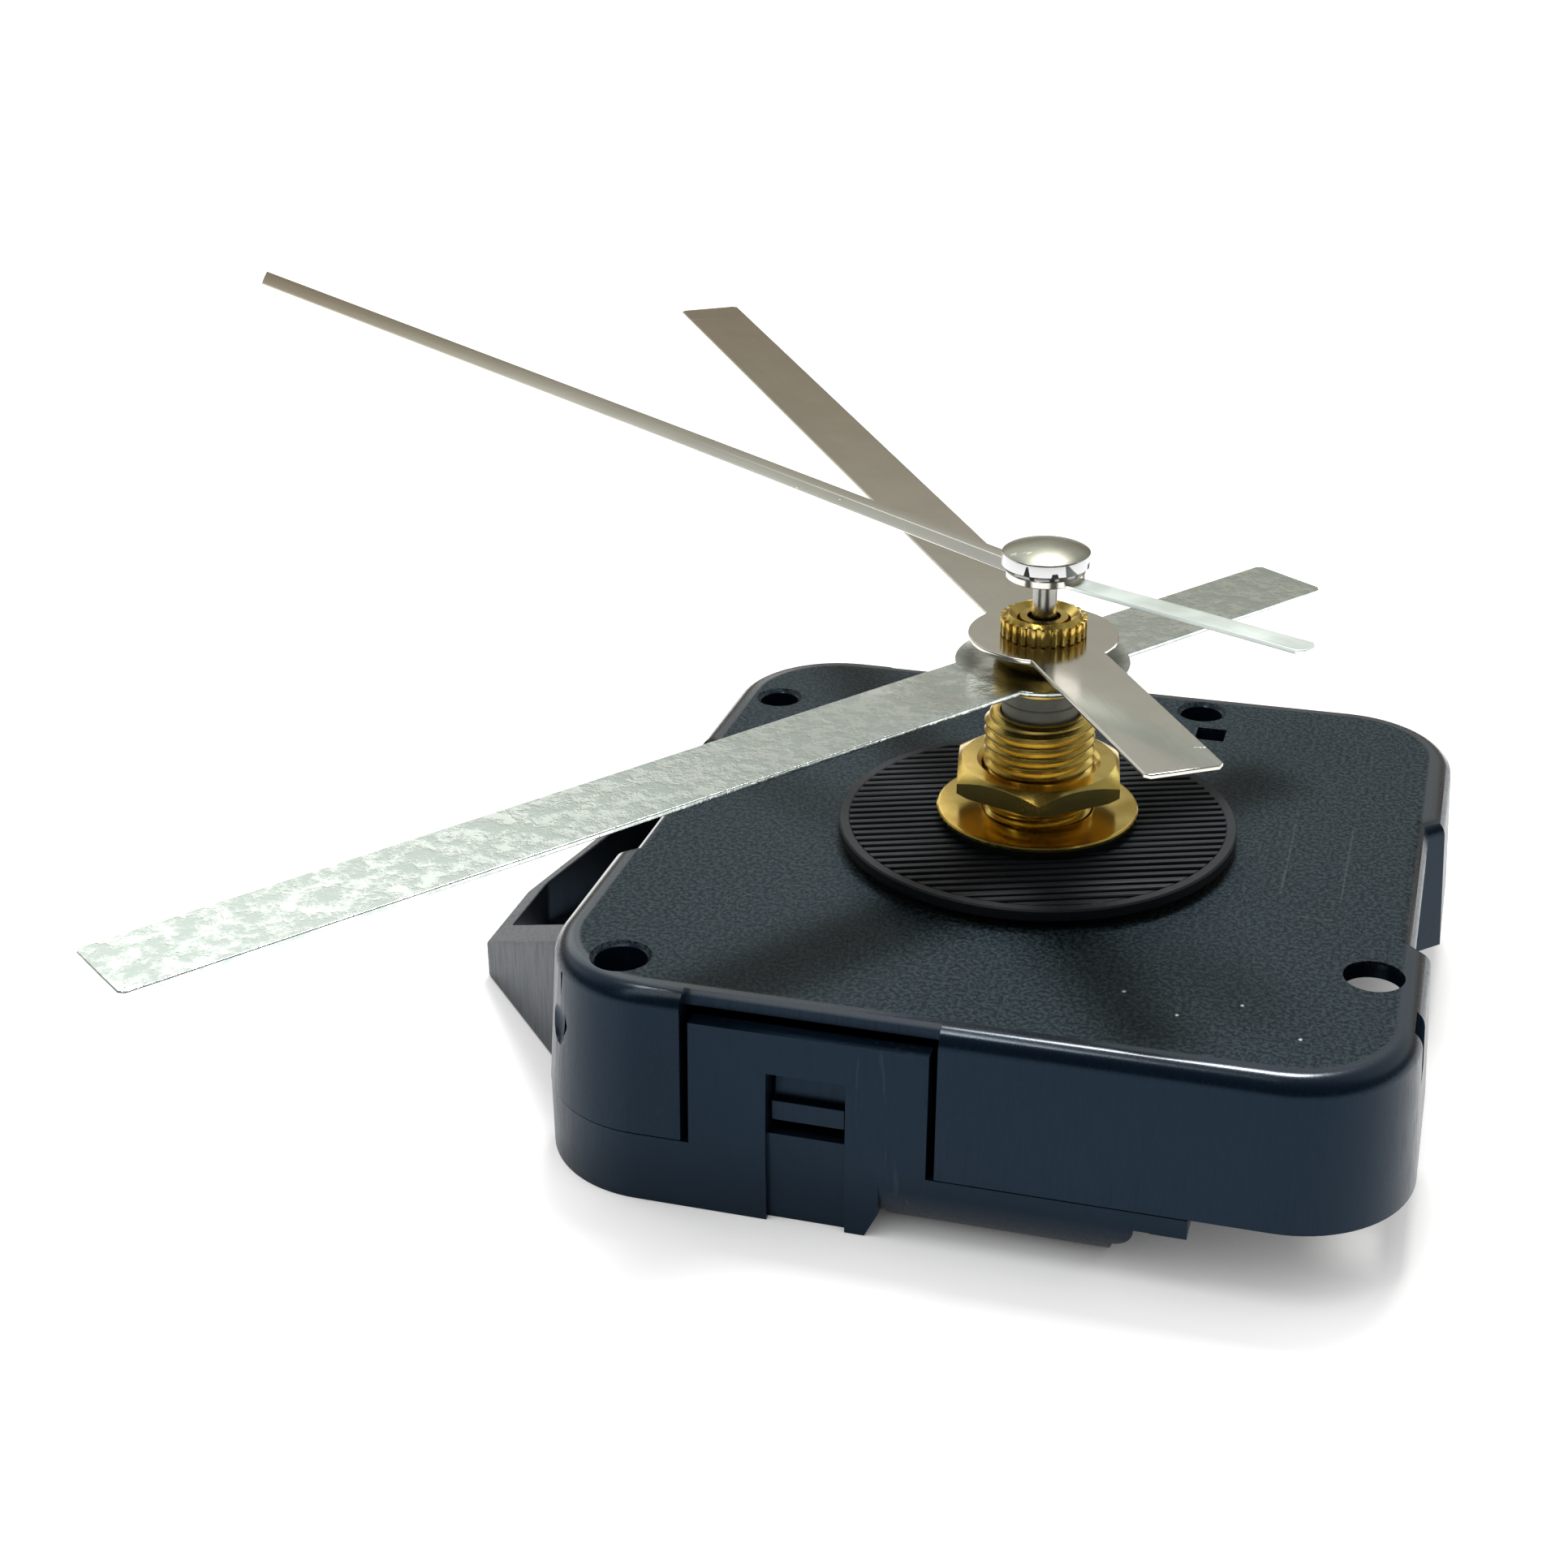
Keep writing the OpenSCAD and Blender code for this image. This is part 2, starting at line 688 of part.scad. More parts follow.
// Round lower corner at the right end of the cover's end wall
end_round_r = 1.65;
end_round_z = z_part - 1.5;
module end_cut() {
    x0 = cover_end_x - end_round_r;
    difference() {
        block(x0, cover_end_x + cut, y_near - reach, y_near + under_r, z_back - cut, end_round_z);
        translate([x0, y_near - reach - cut, end_round_z])
            rotate([-90, 0, 0])
                cylinder(r = end_round_r, h = under_r + reach + 2 * cut);
    }
}

// Springy panel that stands up from the cover, flush with the sloped wall
module latch_panel() {
    translate([latch_x0, 0, 0])
        rotate([90, 0, 90])
            linear_extrude(latch_w)
                polygon([[y_near + latch_t, z_part - cut], [y_near + latch_t, -latch_top],
                    [y_near - spread_at(latch_top), -latch_top], [y_skirt, z_part], [y_skirt, z_part - cut]]);
}

// Rear shell with the two latch panels
end_wall_t = 2.35;
ledge_t = 3.35;
block_chamfer = 0.9;
module back_cover() {
    color(shell_colour)
    difference() {
        union() {
            difference() {
                translate([0, 0, z_back])
                    linear_extrude(z_part - z_back)
                        intersection() {
                            case_outline(-spread);
                            left_of(cover_end_x);
                        }
                block(cover_x1, cover_end_x + cut, y_near + end_wall_t, y_far - end_wall_t, z_back - cut,
                    z_part + cut);
                translate([0, 0, z_floor])
                    linear_extrude(z_part - z_floor + cut)
                        intersection() {
                            case_outline(wall_t);
                            left_of(cover_x1 - bay_wall_t);
                        }
            }
            both_sides() {
                latch_panel();
                block(under_x - wall_t, cover_x1, y_near + wall_t / 2, y_near + ledge_t, z_back, z_back + under_r);
                block(cover_end_x - cut, rail_end_x, y_skirt, y_near + wall_t, z_part - rail_h, z_part);
            }
        }
        both_sides() {
            under_cut();
            end_cut();
            block(window_x0, window_x1, y_near - reach, y_near + latch_t + cut, -window_bottom, -window_top);
            block(window_x0, window_x1, y_near - reach, y_skirt + channel_t, z_back - cut, -window_bottom + cut);
            translate([0, y_near + under_r, 0])
                rotate([90, 0, 0])
                    linear_extrude(under_r + reach)
                        polygon([[under_x - block_chamfer, z_back - cut], [under_x + cut, z_back - cut],
                            [under_x + cut, z_back + 2 * block_chamfer], [under_x, z_back + 2 * block_chamfer],
                            [under_x - block_chamfer, z_back]]);
        }
        rod(setting_at, knob_r + 0.4, z_back - cut, z_floor + cut);
    }
}

// Plan of the hanger, drawn in by a distance
module hanger_plan(inset) {
    root = x_left;
    slope = (hanger_root_w - hanger_tip_w) / (hanger_reach + root);
    side = inset * sqrt(1 + slope * slope);
    tip = -hanger_reach + inset;
    tip_w = hanger_tip_w + slope * inset - side;
    polygon([[root, hanger_root_w - side], [tip, tip_w], [tip, -tip_w], [root, -hanger_root_w + side]]);
}

module hanger() {
    root = x_left;
    foot = x_left - spread;
    root_z = z_back + hanger_root_h;
    color(shell_colour)
    translate([0, axis_off_y, 0]) {
        intersection() {
            translate([0, 0, z_back])
                linear_extrude(hanger_root_h + cut)
                    difference() {
                        hanger_plan(0);
                        translate([cut, 0])
                            hanger_plan(hanger_t);
                    }
            rotate([90, 0, 0])
                translate([0, 0, -hanger_root_w - cut])
                    linear_extrude(2 * (hanger_root_w + cut))
                        polygon([[foot, z_back], [foot, z_part], [root - spread_at(-root_z), root_z],
                            [-hanger_reach - cut, z_back + hanger_tip_h], [-hanger_reach - cut, z_back]]);
        }
        translate([0, 0, z_back])
            linear_extrude(hanger_plate_t)
                difference() {
                    intersection() {
                        hanger_plan(hanger_t / 2);
                        translate([-2 * hanger_reach + foot, -hanger_root_w])
                            square([2 * hanger_reach, 2 * hanger_root_w]);
                    }
                    polygon([[foot - hanger_plate_t, hook_slot_root],
                        [foot - hanger_plate_t - hook_slot_l, hook_slot_tip],
                        [foot - hanger_plate_t - hook_slot_l, -hook_slot_tip],
                        [foot - hanger_plate_t, -hook_slot_root]]);
                }
    }
}

// Threaded brass post in the middle of the face
thread_z = seat_h + 0.4;
thread_turns = floor((post_h - thread_z) / thread_pitch);
module centre_post() {
    bore = hour_tube_r + tube_gap;
    flat = thread_pitch * 0.15;
    color(brass_colour)
    rotate_extrude()
        polygon(concat(
            [[bore, z_inner - post_flange_t], [post_flange_r, z_inner - post_flange_t], [post_flange_r, z_inner],
                [post_r, z_inner]],
            [for (i = [0 : thread_turns - 1])
                for (p = [[0, 0], [0, flat], [thread_depth, thread_pitch / 2], [0, thread_pitch - flat]])
                    [post_r - p[0], thread_z + i * thread_pitch + p[1]]],
            [[post_r, post_h - thread_depth], [post_r - thread_depth, post_h], [bore, post_h]]));
}

washer_z = seat_h + gasket_t;
collar_step = 0.5;
module rubber_gasket() {
    rim_top = washer_z - gasket_dish;
    hole_r = post_r + 2 * arbor_gap;
    color([0.03, 0.035, 0.04])
    rotate_extrude()
        polygon([[hole_r, seat_h], [seat_r + 2 * arbor_gap, seat_h], [seat_r + 2 * arbor_gap, seat_h - gasket_dish],
            [gasket_r, seat_h - gasket_dish], [gasket_r, rim_top], [washer_r - collar_step, rim_top],
            [washer_r - collar_step, washer_z], [hole_r, washer_z]]);
}

module dial_washer() {
    color(brass_colour)
    rotate_extrude()
        translate([post_r + 2 * arbor_gap, washer_z])
            square([washer_r - post_r - 2 * arbor_gap, washer_t]);
}

nut_turn = -79.5;
module hex_nut() {
    corner = nut_af / 2 / cos(30);
    fall = (nut_chamfer + cut) * tan(30);
    color(brass_colour)
    difference() {
        intersection() {
            rotate([0, 0, nut_turn])
                translate([0, 0, nut_z])
                    cylinder(r = corner, h = nut_h, $fn = 6);
            rotate_extrude()
                polygon([[0, nut_z - cut], [corner + cut, nut_z - cut], [corner + cut, nut_z + nut_h - fall],
                    [corner - nut_chamfer, nut_z + nut_h], [0, nut_z + nut_h]]);
        }
        rod([0, 0], post_r + 0.02, nut_z - cut, nut_z + nut_h + cut);
    }
}

// Holes for every arbor that passes a plate
module arbor_holes(centre_r, z0, z1) {
    rod([0, 0], centre_r + arbor_gap, z0, z1);
    rod(setting_at, stem_r + arbor_gap, z0, z1);
    for (at = [third_at, inter_at, rotor_at])
        rod(at, arbor_r + arbor_gap, z0, z1);
    for (at = column_at)
        rod(at, pin_r + 0.02, z0, z1);
}

plate_x0 = stator_leg_x - stator_leg_w - 0.3;
plate_x1 = chamber_x1 - 0.5;
plate_y0 = -15.5;
plate_y1 = 13.5;
stator_y0 = coil_y - core_l / 2;
stator_y1 = coil_y + core_l / 2;
stator_post_y = [stator_y0 + 1.6, stator_y1 - 1.6];

module middle_plate() {
    color([0.8, 0.8, 0.78])
    difference() {
        union() {
            block(plate_x0, plate_x1, plate_y0, plate_y1, plate_z - plate_t, plate_z);
            for (at = column_at)
                rod(at, column_r, bridge_z, plate_z - plate_t);
            for (y = stator_post_y)
                rod([stator_leg_x - stator_leg_w / 2, y], stator_post_r, stator_z, plate_z - plate_t);
        }
        arbor_holes(minute_foot_r, bridge_z - cut, plate_z + cut);
    }
}

module train_bridge() {
    color([0.8, 0.8, 0.78])
    difference() {
        block(plate_x0 + 2, plate_x1, plate_y0, plate_y1, bridge_z - bridge_t, bridge_z);
        arbor_holes(second_arbor_r, bridge_z - bridge_t - cut, bridge_z + cut);
    }
}

// One-piece stator round the rotor, with a leg to each end of the coil
module stator() {
    color(steel_colour)
    translate([0, 0, stator_z - stator_t])
        linear_extrude(stator_t)
            difference() {
                union() {
                    translate(rotor_at)
                        circle(stator_hole_r + stator_ring_w);
                    translate([stator_leg_x - stator_arm_w, stator_y0])
                        square([stator_arm_w, core_l]);
                    for (y = [stator_y0, stator_y1 - stator_leg_w])
                        translate([coil_x - core_w / 2, y])
                            square([stator_leg_x - coil_x, stator_leg_w]);
                }
                translate(rotor_at)
                    circle(stator_hole_r);
                translate([stator_leg_x - stator_leg_w - cut, rotor_at[1] - stator_slot / 2])
                    square([stator_leg_w + stator_hole_r, stator_slot]);
            }
}

module coil_core() {
    color(steel_colour)
    translate([coil_x - core_w / 2, stator_y0, coil_z - core_t / 2])
        cube([core_w, core_l, core_t]);
}

module coil_tube(r, y0, y1) {
    translate([coil_x, y1, coil_z])
        rotate([90, 0, 0])
            cylinder(r = r, h = y1 - y0);
}

module coil_bobbin() {
    y0 = coil_y - coil_l / 2;
    y1 = coil_y + coil_l / 2;
    color(gear_colour)
    difference() {
        union() {
            coil_tube(spool_r, y0 - flange_t, y1 + flange_t);
            coil_tube(flange_r, y0 - flange_t, y0);
            coil_tube(flange_r, y1, y1 + flange_t);
        }
        translate([coil_x - core_w / 2, y0 - 2 * flange_t, coil_z - core_t / 2])
            cube([core_w, coil_l + 4 * flange_t, core_t]);
    }
}

module coil_winding() {
    color([0.7, 0.3, 0.12])
    difference() {
        coil_tube(coil_r, coil_y - coil_l / 2, coil_y + coil_l / 2);
        coil_tube(spool_r, coil_y - coil_l / 2 - cut, coil_y + coil_l / 2 + cut);
    }
}

module circuit_board() {
    color([0.1, 0.3, 0.16])
    translate([board_x - board_l / 2, board_y - board_w / 2, board_z - board_t])
        cube([board_l, board_w, board_t]);
}

module quartz_crystal() {
    color(steel_colour)
    translate([board_x + 1.5, board_y + board_w / 4, board_z - board_t - crystal_r])
        rotate([0, 90, 0])
            cylinder(r = crystal_r, h = crystal_l);
}

module chip_cover() {
    sphere_r = (blob_r * blob_r + blob_h * blob_h) / (2 * blob_h);
    color([0.03, 0.03, 0.03])
    translate([board_x - board_l / 4, board_y, board_z - board_t])
        intersection() {
            translate([0, 0, sphere_r - blob_h])
                sphere(sphere_r);
            translate([0, 0, -blob_h])
                cylinder(r = blob_r + cut, h = blob_h);
        }
}

// Contact plate at one end of the bay with a strip to the circuit board
module contact_plate(y0) {
    translate([cell_x - contact_w / 2, y0, contact_z])
        cube([contact_w, contact_t, contact_h]);
    block(chamber_x1 - contact_t, cell_x, y0, y0 + contact_t, strip_z - strip_w, strip_z);
}

foot_x = chamber_x1 - contact_t;
module positive_contact() {
    y0 = bay_y1 - contact_t;
    board_edge = board_y + board_w / 2;
    color(steel_colour) {
        contact_plate(y0);
        block(foot_x - contact_t, foot_x, board_edge - 2, bay_y1, strip_z - strip_w, strip_z);
        block(board_x + board_l / 2 - 2, foot_x, board_edge - 2, board_edge, board_z, board_z + contact_t);
    }
}

leaf_out = 2.2;
module negative_contact() {
    y0 = bay_y0;
    color(steel_colour) {
        contact_plate(y0);
        translate([cell_x - contact_w / 4, 0, contact_z])
            rotate([90, 0, 90])
                linear_extrude(contact_w / 2)
                    polygon([[y0, contact_h], [y0 + contact_t, contact_h],
                        [y0 + leaf_out, contact_h / 4], [y0 + leaf_out - contact_t, contact_h / 4]]);
        block(foot_x - contact_t, foot_x, y0, board_y - board_w / 2 + 2, strip_z - strip_w, strip_z);
        block(foot_x - contact_t, foot_x, board_y - board_w / 2, board_y - board_w / 2 + 2, board_z, strip_z);
        block(board_x + board_l / 2 - 2, foot_x, board_y - board_w / 2, board_y - board_w / 2 + 2, board_z,
            board_z + contact_t);
    }
}

second_tube_z = minute_hand_z + 0.4;
cap_z = second_hand_z + 0.3;
module second_arbor() {
    color(steel_colour)
    rod([0, 0], second_arbor_r, bridge_z - bridge_t, second_hand_z);
}

module second_wheel() {
    hub_r = 1.2;
    color(gear_colour)
    difference() {
        union() {
            gear([0, 0], second_wheel_n, m_second, gap_phase(second_wheel_n, inter_dir + 180), second_wheel_z, wheel_t);
            gear([0, 0], second_pinion_n, m_third, third_dir, third_wheel_z + pinion_over,
                wheel_t + 2 * pinion_over);
            rod([0, 0], hub_r, second_wheel_z, third_wheel_z - wheel_t - pinion_over);
        }
        rod([0, 0], second_arbor_r, second_wheel_z - wheel_t - cut, third_wheel_z + pinion_over + cut);
    }
}

module second_hand_tube() {
    color(steel_colour)
    difference() {
        rod([0, 0], second_tube_r, second_tube_z, second_hand_z - hand_t);
        rod([0, 0], second_arbor_r, second_tube_z - cut, second_hand_z);
    }
}

// A straight blade from the hub outwards, rising by an angle, with a bevelled back
blade_root = 0.6;
module blade(length, width, flat_w, rise, z_top) {
    root = second_hub_r - blade_root;
    translate([0, 0, z_top])
        rotate([0, -rise, 0])
            translate([root, 0, 0])
                rotate([90, 0, 90])
                    linear_extrude(length - root)
                        polygon([[-width / 2, -hand_t], [width / 2, -hand_t], [width / 2, -hand_t / 2],
                            [flat_w / 2, second_crown], [-flat_w / 2, second_crown], [-width / 2, -hand_t / 2]]);
}

second_drop = 0.4;
module second_hand() {
    color(sheet_colour)
    rotate([0, 0, second_hand_dir])
        difference() {
            union() {
                blade(second_hand_l, second_hand_w, second_hand_w / 2, second_rise, second_hand_z - second_drop);
                rotate([0, 0, 180])
                    blade(second_tail_l, second_tail_w, second_tail_w / 8, second_tail_rise,
                        second_hand_z - second_drop);
                rod([0, 0], second_hub_r, second_hand_z - hand_t, second_hand_z);
            }
            rod([0, 0], second_arbor_r, second_hand_z - 2 * hand_t - cut, second_hand_z + cut);
        }
}

module second_hand_cap() {
    sphere_r = (cap_r * cap_r + cap_dome_h * cap_dome_h) / (2 * cap_dome_h);
    color([0.75, 0.75, 0.76])
    union() {
        translate([0, 0, cap_z])
            cylinder(r = cap_r, h = cap_rim_h);
        rod([0, 0], second_hub_r - cut, second_hand_z, cap_z + cap_rim_h / 2);
        intersection() {
            translate([0, 0, cap_z + cap_rim_h + cap_dome_h - sphere_r])
                sphere(sphere_r, $fn = 200);
            rod([0, 0], cap_r, cap_z + cap_rim_h / 2, cap_z + cap_rim_h + cap_dome_h + cut);
        }
    }
}

module third_arbor() {
    color(steel_colour)
    rod(third_at, arbor_r, bridge_z - bridge_t, plate_z);
}

module third_wheel() {
    hub_r = 1;
    color(gear_colour)
    difference() {
        union() {
            gear(third_at, third_wheel_n, m_third, gap_phase(third_wheel_n, third_dir), third_wheel_z, wheel_t);
            gear(third_at, third_pinion_n, m_centre, gap_phase(third_pinion_n, third_dir),
                centre_wheel_z + pinion_over, wheel_t + 2 * pinion_over);
            rod(third_at, hub_r, third_wheel_z, centre_wheel_z - wheel_t - pinion_over);
        }
        rod(third_at, arbor_r, third_wheel_z - wheel_t - cut, centre_wheel_z + pinion_over + cut);
    }
}

// Turns on the minute tube through a friction grip
module centre_wheel() {
    color(gear_colour)
    difference() {
        gear([0, 0], centre_wheel_n, m_centre, third_dir, centre_wheel_z, wheel_t);
        rod([0, 0], minute_foot_r + arbor_gap, centre_wheel_z - wheel_t - cut, centre_wheel_z + cut);
    }
}

module intermediate_arbor() {
    color(steel_colour)
    rod(inter_at, arbor_r, bridge_z - bridge_t, plate_z);
}

module intermediate_wheel() {
    hub_r = 1;
    color(gear_colour)
    difference() {
        union() {
            gear(inter_at, inter_wheel_n, m_rotor, gap_phase(inter_wheel_n, rotor_dir + 180), inter_wheel_z, wheel_t);
            gear(inter_at, inter_pinion_n, m_second, inter_dir + 180, second_wheel_z + pinion_over,
                wheel_t + 2 * pinion_over);
            rod(inter_at, hub_r, inter_wheel_z, second_wheel_z - wheel_t - pinion_over);
        }
        rod(inter_at, arbor_r, inter_wheel_z - wheel_t - cut, second_wheel_z + pinion_over + cut);
    }
}

magnet_z = stator_z - stator_t / 2 - magnet_h / 2;
module rotor_pinion() {
    color(gear_colour)
    union() {
        gear(rotor_at, rotor_pinion_n, m_rotor, rotor_dir + 180, inter_wheel_z + pinion_over,
            wheel_t + 2 * pinion_over);
        rod(rotor_at, arbor_r, bridge_z - bridge_t, plate_z);
    }
}

module rotor_magnet() {
    color([0.2, 0.2, 0.22])
    difference() {
        rod(rotor_at, magnet_r, magnet_z, magnet_z + magnet_h);
        rod(rotor_at, arbor_r, magnet_z - cut, magnet_z + magnet_h + cut);
    }
}

minute_seat_z = minute_hand_z - hand_t;
minute_top_z = minute_hand_z + hand_nut_h - 0.25;
minute_foot_z = centre_wheel_z - wheel_t;
module minute_tube() {
    pinion_z = setting_wheel_z + layer_gap / 2;
    mouth_depth = 3;
    bore = second_arbor_r + tube_gap;
    color(brass_colour)
    union() {
        rotate_extrude()
            polygon([[bore, minute_foot_z], [minute_foot_r, minute_foot_z], [minute_foot_r, pinion_z],
                [minute_tube_r, pinion_z], [minute_tube_r, minute_seat_z], [minute_tip_r, minute_seat_z],
                [minute_tip_r, minute_top_z], [minute_mouth_r, minute_top_z],
                [minute_mouth_r, minute_top_z - mouth_depth], [bore, minute_top_z - mouth_depth]]);
        difference() {
            gear([0, 0], minute_pinion_n, m_minute, setting_dir, pinion_z, motion_wheel_t + layer_gap);
            rod([0, 0], (bore + minute_foot_r) / 2, setting_wheel_z - 2 * motion_wheel_t, pinion_z + cut);
        }
    }
}

module flat_hand(dir, hub_r, hole_r, length, width, tip, tail, tail_w, z_top) {
    rotate([0, 0, dir])
        translate([0, 0, z_top - hand_t])
            linear_extrude(hand_t)
                difference() {
                    union() {
                        polygon([[0, -width / 2], [length, -tip / 2], [length, tip / 2], [0, width / 2]]);
                        translate([-tail, -tail_w / 2])
                            square([tail, tail_w]);
                        circle(hub_r);
                    }
                    circle(hole_r);
                }
}

module minute_hand() {
    color(sheet_colour)
    flat_hand(minute_hand_dir, minute_hub_r, minute_tip_r, minute_hand_l, minute_hand_w, minute_tip_w,
        minute_tail_l, minute_tail_w, minute_hand_z);
}

// Knurled nut that holds the minute hand
knurl_depth = 0.3;
nut_mouth_r = 2.3;
module minute_hand_nut() {
    pitch = 360 / hand_nut_teeth;
    tooth = [[0, -0.28], [knurl_depth, -0.2], [knurl_depth, 0.2], [0, 0.28]];
    root = hand_nut_r - knurl_depth;
    color(brass_colour)
    difference() {
        translate([0, 0, minute_hand_z])
            linear_extrude(hand_nut_h)
                polygon([for (i = [0 : hand_nut_teeth - 1])
                    for (p = tooth)
                        polar(root + p[0], pitch * (i + p[1]))]);
        rod([0, 0], minute_tip_r, minute_hand_z - cut, minute_hand_z + hand_nut_h + cut);
        translate([0, 0, minute_top_z])
            cylinder(r1 = minute_tip_r, r2 = nut_mouth_r + nut_mouth_r - minute_tip_r,
                h = 2 * (minute_hand_z + hand_nut_h - minute_top_z));
    }
}

module setting_wheel() {
    color(gear_colour)
    difference() {
        union() {
            gear(setting_at, setting_wheel_n, m_minute, gap_phase(setting_wheel_n, setting_dir), setting_wheel_z,
                motion_wheel_t);
            gear(setting_at, setting_pinion_n, m_hour, gap_phase(setting_pinion_n, setting_dir),
                hour_wheel_z + layer_gap, motion_wheel_t + 2 * layer_gap);
            rod(setting_at, stem_r + layer_gap, setting_wheel_z, hour_wheel_z);
        }
        rod(setting_at, stem_r, setting_wheel_z - motion_wheel_t - cut, hour_wheel_z + layer_gap + cut);
    }
}

module setting_stem() {
    color(steel_colour)
    rod(setting_at, stem_r, knob_z + knob_h / 2, z_inner / 2 - layer_gap);
}

// Knob on the back for setting the hands
knob_teeth = 30;
module setting_knob() {
    knurl = 0.25;
    pitch = 360 / knob_teeth;
    tooth = [[0, -0.3], [knurl, -0.15], [knurl, 0.15], [0, 0.3]];
    color(shell_colour)
    difference() {
        translate([setting_at[0], setting_at[1], knob_z])
            linear_extrude(knob_h)
                polygon([for (i = [0 : knob_teeth - 1])
                    for (p = tooth)
                        polar(knob_r - knurl + p[0], pitch * (i + p[1]))]);
        rod(setting_at, stem_r, knob_z + knob_h / 2, knob_z + knob_h + cut);
    }
}

// Nylon hour wheel with its long tube
hour_step_z = 10.55;
hour_shoulder_z = hour_hand_z - hand_t - collet_ring_h;
collet_top_z = minute_seat_z - 0.25;
module hour_wheel() {
    bore = minute_tube_r + tube_gap;
    color(nylon_colour)
    union() {
        rotate_extrude()
            polygon([[bore, hour_wheel_z - motion_wheel_t], [hour_tube_r, hour_wheel_z - motion_wheel_t],
                [hour_tube_r, hour_step_z], [hour_tube_r - 0.1, hour_step_z + 0.1],
                [hour_tube_r - 0.1, hour_shoulder_z], [hour_tip_r, hour_shoulder_z], [hour_tip_r, collet_top_z],
                [bore, collet_top_z]]);
        difference() {
            gear([0, 0], hour_wheel_n, m_hour, setting_dir, hour_wheel_z, motion_wheel_t);
            rod([0, 0], (bore + hour_tube_r) / 2, hour_wheel_z - 2 * motion_wheel_t, hour_wheel_z + cut);
        }
    }
}

module hour_hand() {
    color(sheet_colour)
    flat_hand(hour_hand_dir, hour_hub_r, collet_r, hour_hand_l, hour_hand_w, hour_tip_w, hour_tail_l,
        hour_tail_w, hour_hand_z);
}

// Brass collet that carries the hour hand on the nylon tube
module hour_hand_collet() {
    flare = 0.35;
    flare_h = 0.5;
    color(brass_colour)
    rotate_extrude()
        polygon([[hour_tip_r, hour_shoulder_z], [collet_ring_r, hour_shoulder_z],
            [collet_ring_r, hour_hand_z - hand_t], [collet_r, hour_hand_z - hand_t], [collet_r, hour_hand_z],
            [collet_top_r - flare, hour_hand_z], [collet_top_r, hour_hand_z + flare_h],
            [collet_top_r, collet_top_z], [hour_tip_r, collet_top_z]]);
}

front_case();
back_cover();
hanger();
centre_post();
rubber_gasket();
dial_washer();
hex_nut();
middle_plate();
train_bridge();
stator();
coil_core();
coil_bobbin();
coil_winding();
circuit_board();
quartz_crystal();
chip_cover();
positive_contact();
negative_contact();
second_arbor();
second_wheel();
second_hand_tube();
second_hand();
second_hand_cap();
third_arbor();
third_wheel();
centre_wheel();
intermediate_arbor();
intermediate_wheel();
rotor_pinion();
rotor_magnet();
minute_tube();
minute_hand();
minute_hand_nut();
setting_wheel();
setting_stem();
setting_knob();
hour_wheel();
hour_hand();
hour_hand_collet();
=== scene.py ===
"""Quartz clock movement lying on its back: camera, light, floor, finishes and the detailed pieces."""
import math

import bpy
from mathutils import Matrix, Vector


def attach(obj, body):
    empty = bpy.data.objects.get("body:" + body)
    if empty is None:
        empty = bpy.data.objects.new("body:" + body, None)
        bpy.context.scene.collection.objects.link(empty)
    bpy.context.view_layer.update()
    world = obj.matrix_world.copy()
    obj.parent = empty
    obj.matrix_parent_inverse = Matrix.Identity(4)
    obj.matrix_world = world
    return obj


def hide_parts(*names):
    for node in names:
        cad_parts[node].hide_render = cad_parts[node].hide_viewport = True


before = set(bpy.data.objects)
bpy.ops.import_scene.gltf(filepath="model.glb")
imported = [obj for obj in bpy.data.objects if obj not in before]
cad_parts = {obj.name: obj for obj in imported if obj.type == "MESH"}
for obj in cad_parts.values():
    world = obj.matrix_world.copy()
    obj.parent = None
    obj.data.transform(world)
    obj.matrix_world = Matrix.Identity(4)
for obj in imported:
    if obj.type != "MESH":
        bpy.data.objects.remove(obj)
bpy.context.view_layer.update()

MM = 0.001

# Case, in millimetres. The front face is z = 0 and the post stands at x = y = 0.
FACE_LEFT, FACE_RIGHT, FACE_HALF = -28.2, 27.8, 28.0
CASE_MID = (FACE_LEFT + FACE_RIGHT) / 2
SPREAD = 0.64
SEAM = 0.08
PARTING, BACK = -10.4, -15.5
CORNER, EDGE = 8.15, 1.25
FACE_UNDER, WALL_IN = -1.2, -26.525
RECESS_HALF, LEFT_RECESS, RIGHT_RECESS = 8.7, -27.2, 26.8
PANEL_LEFT, PANEL_RIGHT, PANEL_GAP = -16.795, -1.145, 0.55
WINDOW_LEFT, WINDOW_RIGHT = -11.63, -6.41
CHAMBER_END, BAY_START, BAY_END = 9.95, 11.05, 26.05
STEM_REACH, STEM_WAY = 8.16, math.radians(250)
STEM = (STEM_REACH * math.cos(STEM_WAY), STEM_REACH * math.sin(STEM_WAY))

# Screw holes with a boss behind them: place, radius of the hole, radius of the boss
HOLES = {"a": ((-22.6, -24.1), 1.75, 2.7), "b": ((-24.5, 18.7), 1.5, 2.4), "d": ((8.5, 24.45), 1.6, 2.5)}
HOLE_END, BOSS_TOP, BOSS_END = -5.5, -1.0, -6.7
BAY_HOLE, BAY_HOLE_R, BAY_HOLE_END = (24.45, -14.1), 1.95, -4.0
DIMPLE, DIMPLE_R = (-28.22, -26.64, -4.9), 2.5

# Cutters of the front shell start below it and end over its face or beside its walls
BELOW, ABOVE, BESIDE = -12.0, 1.0, 31.0

# Marks on the front face: specks of dust, and the faint lines of a rectangle
DUST = ((9.5, -20.1), (13.1, -22.1), (16.85, -19.9), (20.7, -23.0))
MARK_X, MARK_Y, MARK_FOOT, MARK_HALF = 19.6, 1.0, -7.4, 2.0

